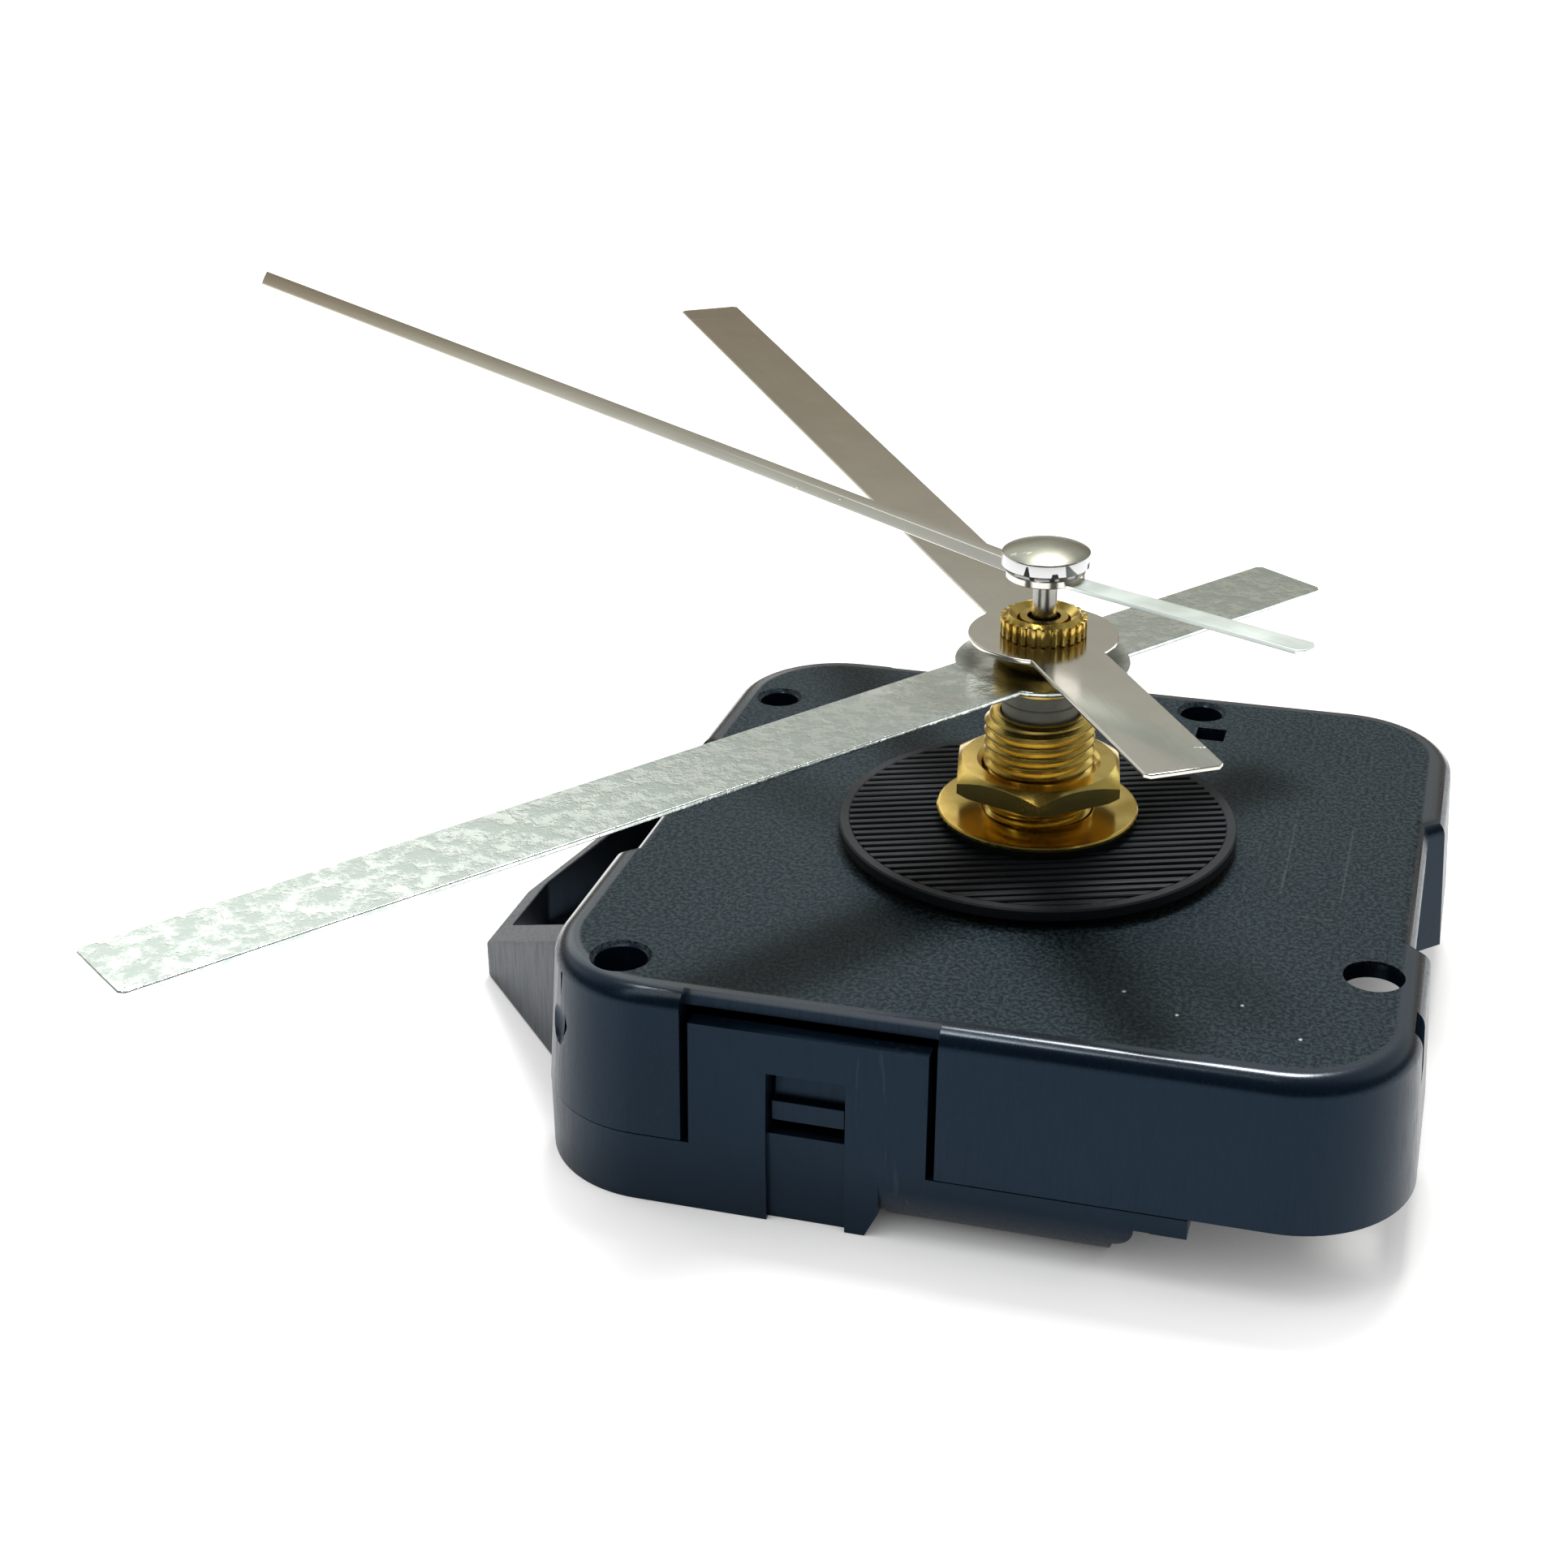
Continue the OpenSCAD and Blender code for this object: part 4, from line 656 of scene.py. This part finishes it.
def front_shell():
    """The front shell, hollow and open below, with its holes, pockets and bosses."""
    shell = sloped_box("front_shell", FACE_LEFT, FACE_RIGHT, FACE_HALF, PARTING, 0, SPREAD)
    round_edges(shell, upright, CORNER, 20)
    cut(shell, side_recess("left_recess", LEFT_RECESS), side_recess("right_recess", RIGHT_RECESS))
    round_edges(shell, lambda a, b: a.z > -0.01 and b.z > -0.01, EDGE, 8)
    chamber = block("chamber", -26.45, CHAMBER_END, -25.3, 25.3, BELOW, FACE_UNDER)
    bay = block("bay", BAY_START, BAY_END, -26.7, 26.7, BELOW, FACE_UNDER)
    round_edges(bay, lambda a, b: upright(a, b) and a.x > 20, 5.5, 10)
    pocket_left, pocket_right = PANEL_LEFT - PANEL_GAP, PANEL_RIGHT + PANEL_GAP
    near_pocket = block("near_pocket", pocket_left, pocket_right, -BESIDE, WALL_IN, BELOW, FACE_UNDER)
    far_pocket = mirrored(near_pocket, "far_pocket")
    near_lip = block("near_lip", pocket_left, pocket_right, -BESIDE, -26.87, -1.7, ABOVE)
    far_lip = mirrored(near_lip, "far_lip")
    notch = block("notch", 27.3, BESIDE, -20.0, -17.4, -4.0, ABOVE)
    bpy.ops.object.select_all(action="DESELECT")
    bpy.ops.mesh.primitive_uv_sphere_add(segments=48, ring_count=24, radius=DIMPLE_R * MM,
        location=[v * MM for v in DIMPLE])
    dimple = settle(bpy.context.object)
    square = block("square", 8.65, 10.85, 19.2, 21.4, -1.1, ABOVE)
    neck = rod("neck", (0, 0), 3.9, -3, 3)
    holes = [face_hole(key, at, radius) for key, (at, radius, outer) in HOLES.items()]
    holes.insert(2, rod("hole_c", BAY_HOLE, BAY_HOLE_R, BAY_HOLE_END, ABOVE))
    cut(shell, chamber, bay, near_pocket, far_pocket, near_lip, far_lip, notch, dimple, square, neck, *holes)
    weld(shell, *[boss(key, *hole) for key, hole in HOLES.items()])
    soften(shell, 0.1)
    return place(smooth(shell), "case", "case_black", CASE_SKIN, "front_case")


def latch_catch(name, far):
    """The catch with its shelf and ramp, seen in the window of the latch panel."""
    wall = WALL_IN
    catch = extrusion(name, [(wall + 0.6, -8.3), (wall - 1.25, -8.3), (wall - 1.25, -6.85),
        (wall - 0.5, -6.85), (wall - 0.25, -4.85), (wall + 0.6, -4.85)],
        "x", WINDOW_LEFT + 0.2, WINDOW_RIGHT - 0.2)
    back_wall = block(name + "_wall", PANEL_LEFT - 1, PANEL_RIGHT + 1, wall, wall + 1.2, PARTING, -1.1)
    gather(catch, back_wall)
    soften(catch, 0.08)
    if far:
        other = mirrored(catch, name + "_far")
        bpy.data.objects.remove(catch)
        catch = other
    return place(smooth(catch), "case", "case_black", COVER_SKIN)


def arc(centre, radius, start, end, steps):
    """Points along an arc, both its ends too, with angles in degrees."""
    ways = [math.radians(start + (end - start) * i / steps) for i in range(steps + 1)]
    return [(centre[0] + radius * math.cos(way), centre[1] + radius * math.sin(way)) for way in ways]


def back_shell():
    """The back cover with its latch panels, windows, channels, rails and rounded lower edges."""
    skirt = FACE_HALF + SPREAD
    left = FACE_LEFT - SPREAD
    shell = block("back_shell", left, 12, -skirt, skirt, BACK, PARTING - SEAM)
    round_edges(shell, lambda a, b: upright(a, b) and a.x < 0, CORNER + 0.1, 20)
    room = block("room", -26.9, 9.7, -25.5, 25.5, -14.3, -9)
    open_end = block("open_end", 10.8, 14, -26.29, 26.29, -17, -9)
    knob_hole = rod("knob_hole", STEM, 4.7, -17, -13, 72)
    cut(shell, room, open_end, knob_hole)
    y_in = -FACE_HALF + 1.2
    panel = extrusion("panel", [(y_in, PARTING - 1), (y_in, -1.85), (-FACE_HALF - 0.04, -1.85),
        (-skirt, PARTING), (-skirt, PARTING - 1)], "x", PANEL_LEFT, PANEL_RIGHT)
    rail = block("rail", 11, 15.3, -skirt, -26.7, PARTING - 1.45, PARTING - SEAM)
    weld(shell, mirrored(panel, "far_panel"), mirrored(rail, "far_rail"), panel, rail)
    y0, z0 = -skirt, BACK
    cove = extrusion("cove", [(y0 - 1, z0 - 1), (y0 + 4.3, z0 - 1)] +
        arc((y0 + 4.3, z0 + 4.3), 4.3, 270, 180, 14) + [(y0 - 1, z0 + 4.3)], "x", -4.2, 13)
    end = extrusion("end", [(10.35, -18), (13, -18), (13, -11.9)] + arc((10.35, -11.9), 1.65, 0, -90, 8),
        "y", -30, -23.7)
    window = block("window", WINDOW_LEFT, WINDOW_RIGHT, -31, -26, -9.1, -4.65)
    channel = block("channel", WINDOW_LEFT, WINDOW_RIGHT, -31, y0 + 0.5, -17, -8.6)
    slant = extrusion("slant", [(-5.1, z0 - 1), (-3.9, z0 - 1), (-3.9, z0 + 1.8), (-4.2, z0 + 1.8),
        (-5.1, z0)], "y", -30, -23.7)
    near = [cove, end, window, channel, slant]
    far = [mirrored(tool, tool.name + "_far") for tool in near]
    cut(shell, *near, *far)
    soften(shell)
    return place(smooth(shell), "case", "case_black", COVER_SKIN, "back_cover")


def hanger_loop():
    """Two arms joined at the tip, cut to a falling top edge, over a plate with the hook slot."""
    reach, tip, root, wall = 41.2, 4.2, 18.2, 2.0
    x0, foot = FACE_LEFT, FACE_LEFT - SPREAD
    lean = (root - tip) / (reach + x0)
    side = wall * math.sqrt(1 + lean * lean)
    outer = extrusion("hanger_loop", [(x0, root), (-reach, tip), (-reach, -tip), (x0, -root)],
        "z", BACK, -2.0)
    inner_tip = tip + lean * wall - side
    inner = extrusion("inner", [(x0 + 3, root - side + 3 * lean), (-reach + wall, inner_tip),
        (-reach + wall, -inner_tip), (x0 + 3, -root + side - 3 * lean)], "z", BACK + 0.8, 1)
    slot = extrusion("slot", [(foot - 0.8, 7.0), (foot - 9.8, 3.0), (foot - 9.8, -3.0), (foot - 0.8, -7.0)],
        "z", BACK - 1, BACK + 2)
    top = extrusion("top", [(x0 + 1, 3), (x0 + 1, -2.4), (x0, -3.1), (-reach - 1, -13.3), (-reach - 1, 3)],
        "y", -30, 30)
    wall_face = extrusion("wall_face", [(foot, -17), (foot, PARTING), (x0, -1.25), (x0, 4), (x0 + 4, 4),
        (x0 + 4, -17)], "y", -30, 30)
    cut(outer, inner, slot, top, wall_face)
    soften(outer, 0.22, 3)
    return place(smooth(outer), "case", "case_black", HANGER_SKIN, "hanger")


def toothed_rim(name, section, base, teeth, height, at=(0.0, 0.0)):
    """A spun section whose rim faces are raised into teeth, two faces of four."""
    steps = teeth * 4
    piece = turned(name, section, steps, at)

    def tooth(c, n):
        dx, dy = c.x - at[0], c.y - at[1]
        if math.hypot(dx, dy) < base - 0.14 or abs(n.z) > 0.6:
            return False
        return round(math.degrees(math.atan2(dy, dx)) % 360 / (360 / steps) - 0.5) % 4 < 2
    pick(piece, "FACE", tooth)
    edit(piece, "FACE", lambda: bpy.ops.mesh.extrude_region_shrink_fatten(
        TRANSFORM_OT_shrink_fatten={"value": height * MM}))
    return tidy_mesh(piece)


def setting_knob():
    """The toothed knob on the back, hollowed round its plug."""
    low, top = -15.3, -12.5
    knob = toothed_rim("setting_knob_rim", [(0.9, top), (3.9, top), (4.05, top - 0.2), (4.05, low + 0.3),
        (3.75, low), (2.6, low), (2.4, low + 0.3), (0.9, low + 0.3)], 4.05, 30, 0.22, STEM)
    plug = rod("plug", STEM, 1.0, low + 0.25, top - 0.2, 32)
    gather(knob, plug)
    soften(knob, 0.05, 2, 40)
    return place(smooth(knob), "setting_train", "case_black", KNOB_SKIN, "setting_knob")


# Post, gasket, washer and nut

def threaded_post():
    """A bored core with one helical ridge wound round it."""
    pitch, turns, root, crest, bore = 0.75, 10.4, 3.5, 3.85, 2.77
    core = turned("threaded_post", [(bore, -1.8), (5.5, -1.8), (5.5, -1.2), (3.8, -1.2), (3.8, 1.3),
        (root, 1.6), (root, 9.5), (root - 0.22, 9.73), (root - 0.27, 9.75), (2.93, 9.75), (2.8, 9.7),
        (bore, 9.6)])
    ridge = drawn_line("ridge", [(root - 0.1, 0, 1.34), (crest - 0.05, 0, 1.6), (crest, 0, 1.65),
        (crest, 0, 1.75), (crest - 0.05, 0, 1.8), (root - 0.1, 0, 2.06)])
    edit(ridge, "VERT", whole, lambda: bpy.ops.mesh.edge_face_add())
    steps = round(96 * turns)
    modify(ridge, "SCREW", angle=2 * math.pi * turns, screw_offset=pitch * turns * MM, steps=steps,
        render_steps=steps, use_merge_vertices=False)
    edit(ridge, "EDGE", whole, lambda: bpy.ops.mesh.fill_holes(sides=8))
    tidy_mesh(ridge)
    gather(core, ridge)
    return place(smooth(core, 40), "case", "brass", BRASS, "centre_post")


def gasket():
    """A flat disc with a raised rim, straight ribs between the rim and a collar under the washer."""
    disc = turned("gasket_disc", [(3.95, 1.15), (5.7, 1.15), (5.7, 0.55), (13.88, 0.55), (14.0, 0.67),
        (14.0, 1.33), (13.88, 1.45), (13.3, 1.45), (13.22, 1.38), (13.2, 1.16), (6.57, 1.16), (6.57, 2.05),
        (3.95, 2.05)], 128)
    place(smooth(disc), "case", "gasket_rubber", RUBBER, "rubber_gasket")
    rib_step, rib_shift, rib_turn = 0.876, 0.32, 20
    ring = turned("ring", [(6.5, 0.9), (13.25, 0.9), (13.25, 1.7), (6.5, 1.7)])
    bar = extrusion("gasket_ribs", [(-0.31, 1.0), (0.31, 1.0), (0.27, 1.38), (0.2, 1.46), (-0.2, 1.46),
        (-0.27, 1.38)], "x", -14, 14)
    ribs = []
    for i in range(-15, 15):
        alone(bar)
        bpy.ops.object.duplicate()
        copy = bpy.context.object
        copy.location = (0, (i * rib_step + rib_shift) * MM, 0)
        ribs.append(settle(copy))
    bpy.data.objects.remove(bar)
    bar = gather(*ribs)
    bar.name = "gasket_ribs"
    bar.rotation_euler = (0, 0, math.radians(rib_turn))
    settle(bar)
    modify(bar, "BOOLEAN", operation="INTERSECT", solver="EXACT", object=ring)
    bpy.data.objects.remove(ring)
    soften(bar, 0.05, angle=50)
    place(smooth(bar), "case", "gasket_rubber", RUBBER)


def washer():
    """The thin brass washer on the gasket's collar."""
    ring = turned("dial_washer_ring", [(3.95, 2.05), (6.95, 2.05), (7.07, 2.15), (7.07, 2.34), (6.98, 2.44),
        (6.8, 2.48), (4.1, 2.48), (3.95, 2.4)], 128)
    return place(smooth(ring), "case", "brass", WASHER_BRASS, "dial_washer")


def hexagon_nut():
    """A hexagon cut by a cone above and below, with a bored and chamfered mouth."""
    across, low, top, turn = 11.2, 4.35, 5.95, 10.5
    corner = across / 2 / math.cos(math.radians(30))
    nut = rod("hexagon_nut", (0, 0), corner, low, top, 6, turn=turn)
    cone = turned("cone", [(3.86, low - 0.5), (5.7, low - 0.2), (corner + 0.5, low + 0.5),
        (corner + 0.5, top - 0.95), (5.35, top), (5.2, top + 0.03), (4.35, top + 0.03), (3.86, top - 0.3)])
    modify(nut, "BOOLEAN", operation="INTERSECT", solver="EXACT", object=cone)
    bpy.data.objects.remove(cone)
    soften(nut, 0.09, 3, 20)
    return place(smooth(nut, 30), "case", "brass", NUT_BRASS, "hex_nut")


# Hands

def hand_outline(length, root_w, tip_w, tail, tail_w, hub):
    """Outline of a stamped hand along +X: blade, hub disc and tail in one line."""
    grow = (tip_w - root_w) / length
    half = root_w / 2
    start = math.degrees(math.asin((half + grow * hub / 2) / hub))
    back = math.degrees(math.asin(tail_w / 2 / hub))
    nose = 0.35
    return ([(length - nose, -tip_w / 2), (length, -tip_w / 2 + nose), (length, tip_w / 2 - nose),
        (length - nose, tip_w / 2)] + arc((0, 0), hub, start, 180 - back, 28) +
        [(-tail + nose, tail_w / 2), (-tail, tail_w / 2 - nose), (-tail, -tail_w / 2 + nose),
        (-tail + nose, -tail_w / 2)] + arc((0, 0), hub, 180 + back, 360 - start, 28))


def flat_hand(name, outline, turn, top, body, finish, node):
    """A hand stamped from flat sheet, turned to its place."""
    hand = extrusion(name, outline, "z", top - SHEET, top)
    hand.rotation_euler = (0, 0, math.radians(turn))
    settle(hand)
    soften(hand, 0.09, 3, 50)
    return place(smooth(hand), body, "hand_sheet", finish, node)


def raised(blade, rise, turn):
    """Turns a blade drawn along +X to its place, so that it climbs away from the hub."""
    blade.matrix_world = (Matrix.Translation((0, 0, SECOND_ROOT * MM))
        @ Matrix.Rotation(math.radians(turn), 4, "Z") @ Matrix.Rotation(math.radians(-rise), 4, "Y"))
    return soften(settle(blade), 0.05, angle=40)


def second_hand():
    """A thin blade, crowned at the hub and flat at its slanted tip, with a flat tail behind the hub disc."""
    blade = extrusion("second_hand_blade", [(-1.22, -0.2), (1.22, -0.32), (1.22, -0.2), (0, 0),
        (-1.22, -0.05)], "x", 2.1, SECOND_FLAT)
    for left, low, lift in ((True, -0.25, 0.18), (True, -0.4, 0.12), (False, -0.1, 0.04)):
        pick(blade, "VERT", lambda p: p.x > SECOND_FLAT - 0.01 and abs(p.y) > 1 and (p.y > 0) == left
            and low < p.z < low + 0.15)
        edit(blade, "VERT", lambda: bpy.ops.transform.translate(value=(0, 0, lift * MM)))
    pick(blade, "FACE", lambda c, n: c.x > SECOND_FLAT - 0.01)
    edit(blade, "FACE", lambda: bpy.ops.mesh.extrude_region_move(
        TRANSFORM_OT_translate={"value": ((SECOND_END - SECOND_FLAT) * MM, 0, 0)}))
    for left, move in ((True, -1.55), (False, 1.5)):
        pick(blade, "VERT", lambda p: p.x > SECOND_END - 0.01 and abs(p.y) > 1 and (p.y > 0) == left)
        edit(blade, "VERT", lambda: bpy.ops.transform.translate(value=(move * MM, 0, 0)))
    near_end, far_end, half, nose = 2.1, SECOND_TAIL, 0.92, 0.5
    tail = extrusion("tail", [(near_end, -half), (far_end - nose, -half), (far_end, nose - half),
        (far_end, half - nose), (far_end - nose, half), (near_end, half)], "z", -0.3, 0)
    hub = turned("hub", [(0.5, 19.55), (2.63, 19.55), (2.7, 19.62), (2.7, 20.03), (2.63, CAP_LOW),
        (0.5, CAP_LOW)])
    tail = raised(tail, SECOND_TAIL_RISE, SECOND_TURN + 180)
    blade = gather(raised(blade, SECOND_RISE, SECOND_TURN), tail, hub)
    return place(smooth(blade, 25), "second_train", "hand_sheet", SECOND_SHEET, "second_hand")


def second_cap():
    """The domed cap on the second hand's hub."""
    dome = arc((0, CAP_TOP - CAP_DOME), CAP_DOME, 90, 67.8, 10)
    cap = turned("second_cap", [(0.0, CAP_LOW), (2.2, CAP_LOW), (2.2, 20.4), (2.9, 20.4), (3.0, 20.48),
        (3.0, 21.22), (2.97, CAP_RIM)] + dome[::-1], 128)
    return place(smooth(cap, 30), "second_train", "hand_sheet", CAP_METAL, "second_hand_cap")


def second_tube():
    """The steel tube under the second hand's hub."""
    tube = turned("second_tube", [(0.5, 15.9), (0.78, 15.9), (0.84, 15.98), (0.84, 19.75), (0.5, 19.75)], 64)
    return place(smooth(tube), "second_train", "polished_steel", STEEL, "second_hand_tube")


def knurled_nut():
    """The knurled nut on the minute hand, with the tube's bore open in its top."""
    low, top = MINUTE_TOP, 16.93
    nut = toothed_rim("knurled_nut", [(1.66, low), (2.62, low), (2.68, low + 0.06), (2.68, top - 0.26),
        (2.42, top), (2.34, top), (1.95, top - 0.36), (1.82, top - 0.42), (1.8, low + 0.5),
        (1.66, low + 0.4)], 2.68, 26, 0.28)
    soften(nut, 0.03, angle=40)
    return place(smooth(nut, 30), "minute_train", "brass", NUT_BRASS, "minute_hand_nut")


def collet():
    """The brass collet that carries the hour hand."""
    ring = turned("collet_ring", [(2.15, 11.55), (2.71, 11.55), (2.78, 11.62), (2.78, 13.15), (2.45, 13.15),
        (2.45, HOUR_TOP), (3.0, HOUR_TOP), (3.28, 13.8), (3.35, 13.95), (3.35, 14.7), (3.25, 14.85),
        (2.15, 14.85)])
    return place(smooth(ring), "hour_train", "brass", BRASS, "hour_hand_collet")


front_shell()
back_shell()
latch_catch("latch_catch", False)
latch_catch("latch_catch_back", True)
hanger_loop()
setting_knob()
threaded_post()
gasket()
washer()
hexagon_nut()
flat_hand("hour_hand_sheet",
    hand_outline(length=68.4, root_w=6.6, tip_w=6.1, tail=25.0, tail_w=6.1, hub=6.0),
    HOUR_TURN, HOUR_TOP, "hour_train", HOUR_SHEET, "hour_hand")
flat_hand("minute_hand_sheet",
    hand_outline(length=91.5, root_w=4.95, tip_w=5.75, tail=23.1, tail_w=5.2, hub=5.14),
    MINUTE_TURN, MINUTE_TOP, "minute_train", MINUTE_SHEET, "minute_hand")
second_hand()
second_cap()
second_tube()
knurled_nut()
collet()


# Floor, light and camera

def stage_floor():
    """A pale floor. To the camera and in gloss it also glows where it lies open, so that it shows white and
    keeps the object's shadow."""
    bpy.ops.object.select_all(action="DESELECT")
    bpy.ops.mesh.primitive_plane_add(size=6, location=(0, 0, (BACK - 0.02) * MM))
    floor = bpy.context.object
    floor.name = "floor"
    settle(floor)
    f = Finish("pale_floor", Base_Color=(0.78, 0.78, 0.78), Roughness=0.9)
    open_air = f.node("ShaderNodeAmbientOcclusion", None, {"Distance": 24 * MM}, "AO")
    strength = f.node("ShaderNodeMapRange", None, {0: open_air, 1: 0.0, 2: 0.85, 3: 0.0, 4: 0.75})
    glow = f.node("ShaderNodeEmission", None, {"Strength": strength})
    glowing = f.node("ShaderNodeAddShader", None, {0: f.plain, 1: glow})
    seen, gloss, through = (f.node("ShaderNodeLightPath", out=kind)
        for kind in ("Is Camera Ray", "Is Glossy Ray", "Is Transmission Ray"))
    share = seen.most(gloss).most(through)
    f.end_in(f.node("ShaderNodeMixShader", None, {0: share, 1: f.plain, 2: glowing}))
    floor.data.materials.append(f.material)


def lamp(name, at, size, watts, colour, size_y=None):
    """An area lamp over the scene, aimed at the post's foot."""
    data = bpy.data.lights.new(name, "AREA")
    data.energy, data.color, data.size = watts, colour, size
    if size_y:
        data.shape, data.size_y = "RECTANGLE", size_y
    obj = bpy.data.objects.new(name, data)
    bpy.context.scene.collection.objects.link(obj)
    obj.location = at
    obj.rotation_euler = (-Vector(at)).to_track_quat("-Z", "Y").to_euler()


def room_light():
    """A room: brown low down, palest above that, dim overhead and on the camera's side, with a window to the
    far left. The camera itself sees white."""
    world = bpy.data.worlds.new("studio")
    bpy.context.scene.world = world
    w = Nodes(world, "ShaderNodeOutputWorld", "Generated")
    walls = w.node("ShaderNodeValToRGB", {"stops": ROOM_STOPS}, {0: w.along("Z")})
    depth = w.ease(w.along("Y"), -0.5, 0.3, (0.22, 1.0))
    toward = w.node("ShaderNodeVectorMath", {"operation": "DOT_PRODUCT"}, {0: w.place, 1: WINDOW_WAY},
        "Value")
    window = w.ease(toward, 0.93, 0.995, (1.0, 2.9))
    room = w.node("ShaderNodeBackground", None, {"Color": walls, "Strength": depth * window})
    white = w.node("ShaderNodeBackground", None, {"Color": (1, 1, 1)})
    seen = w.node("ShaderNodeLightPath", out="Is Camera Ray")
    w.end_in(w.node("ShaderNodeMixShader", None, {0: seen, 1: room, 2: white}))


def photo_camera():
    """Stands where the photo was taken from."""
    azimuth, height, roll = (math.radians(a) for a in (CAMERA_AZIMUTH, CAMERA_HEIGHT, CAMERA_ROLL))
    back = Vector((math.sin(azimuth) * math.cos(height), -math.cos(azimuth) * math.cos(height),
        math.sin(height)))
    right = (-back).cross(Vector((0, 0, 1))).normalized()
    up = right.cross(-back)
    right, up = math.cos(roll) * right + math.sin(roll) * up, -math.sin(roll) * right + math.cos(roll) * up
    data = bpy.data.cameras.new("camera")
    data.lens, data.sensor_width, data.sensor_fit = CAMERA_LENS, CAMERA_FILM, "HORIZONTAL"
    data.clip_start, data.clip_end = 0.01, 20
    camera = bpy.data.objects.new("camera", data)
    bpy.context.scene.collection.objects.link(camera)
    turn = Matrix((right, up, back)).transposed().to_4x4()
    camera.matrix_world = Matrix.Translation([v * MM for v in CAMERA_AT]) @ turn
    bpy.context.scene.camera = camera


stage_floor()
room_light()
lamp("high_softbox", (-0.01, 0.24, 0.56), 0.16, 2.5, (1.0, 0.99, 0.97))
lamp("overhead_strip", (-0.14, -0.06, 0.54), 0.3, 0.6, (0.98, 1.0, 0.98), 0.05)
photo_camera()
bpy.context.scene.view_settings.view_transform = "Standard"
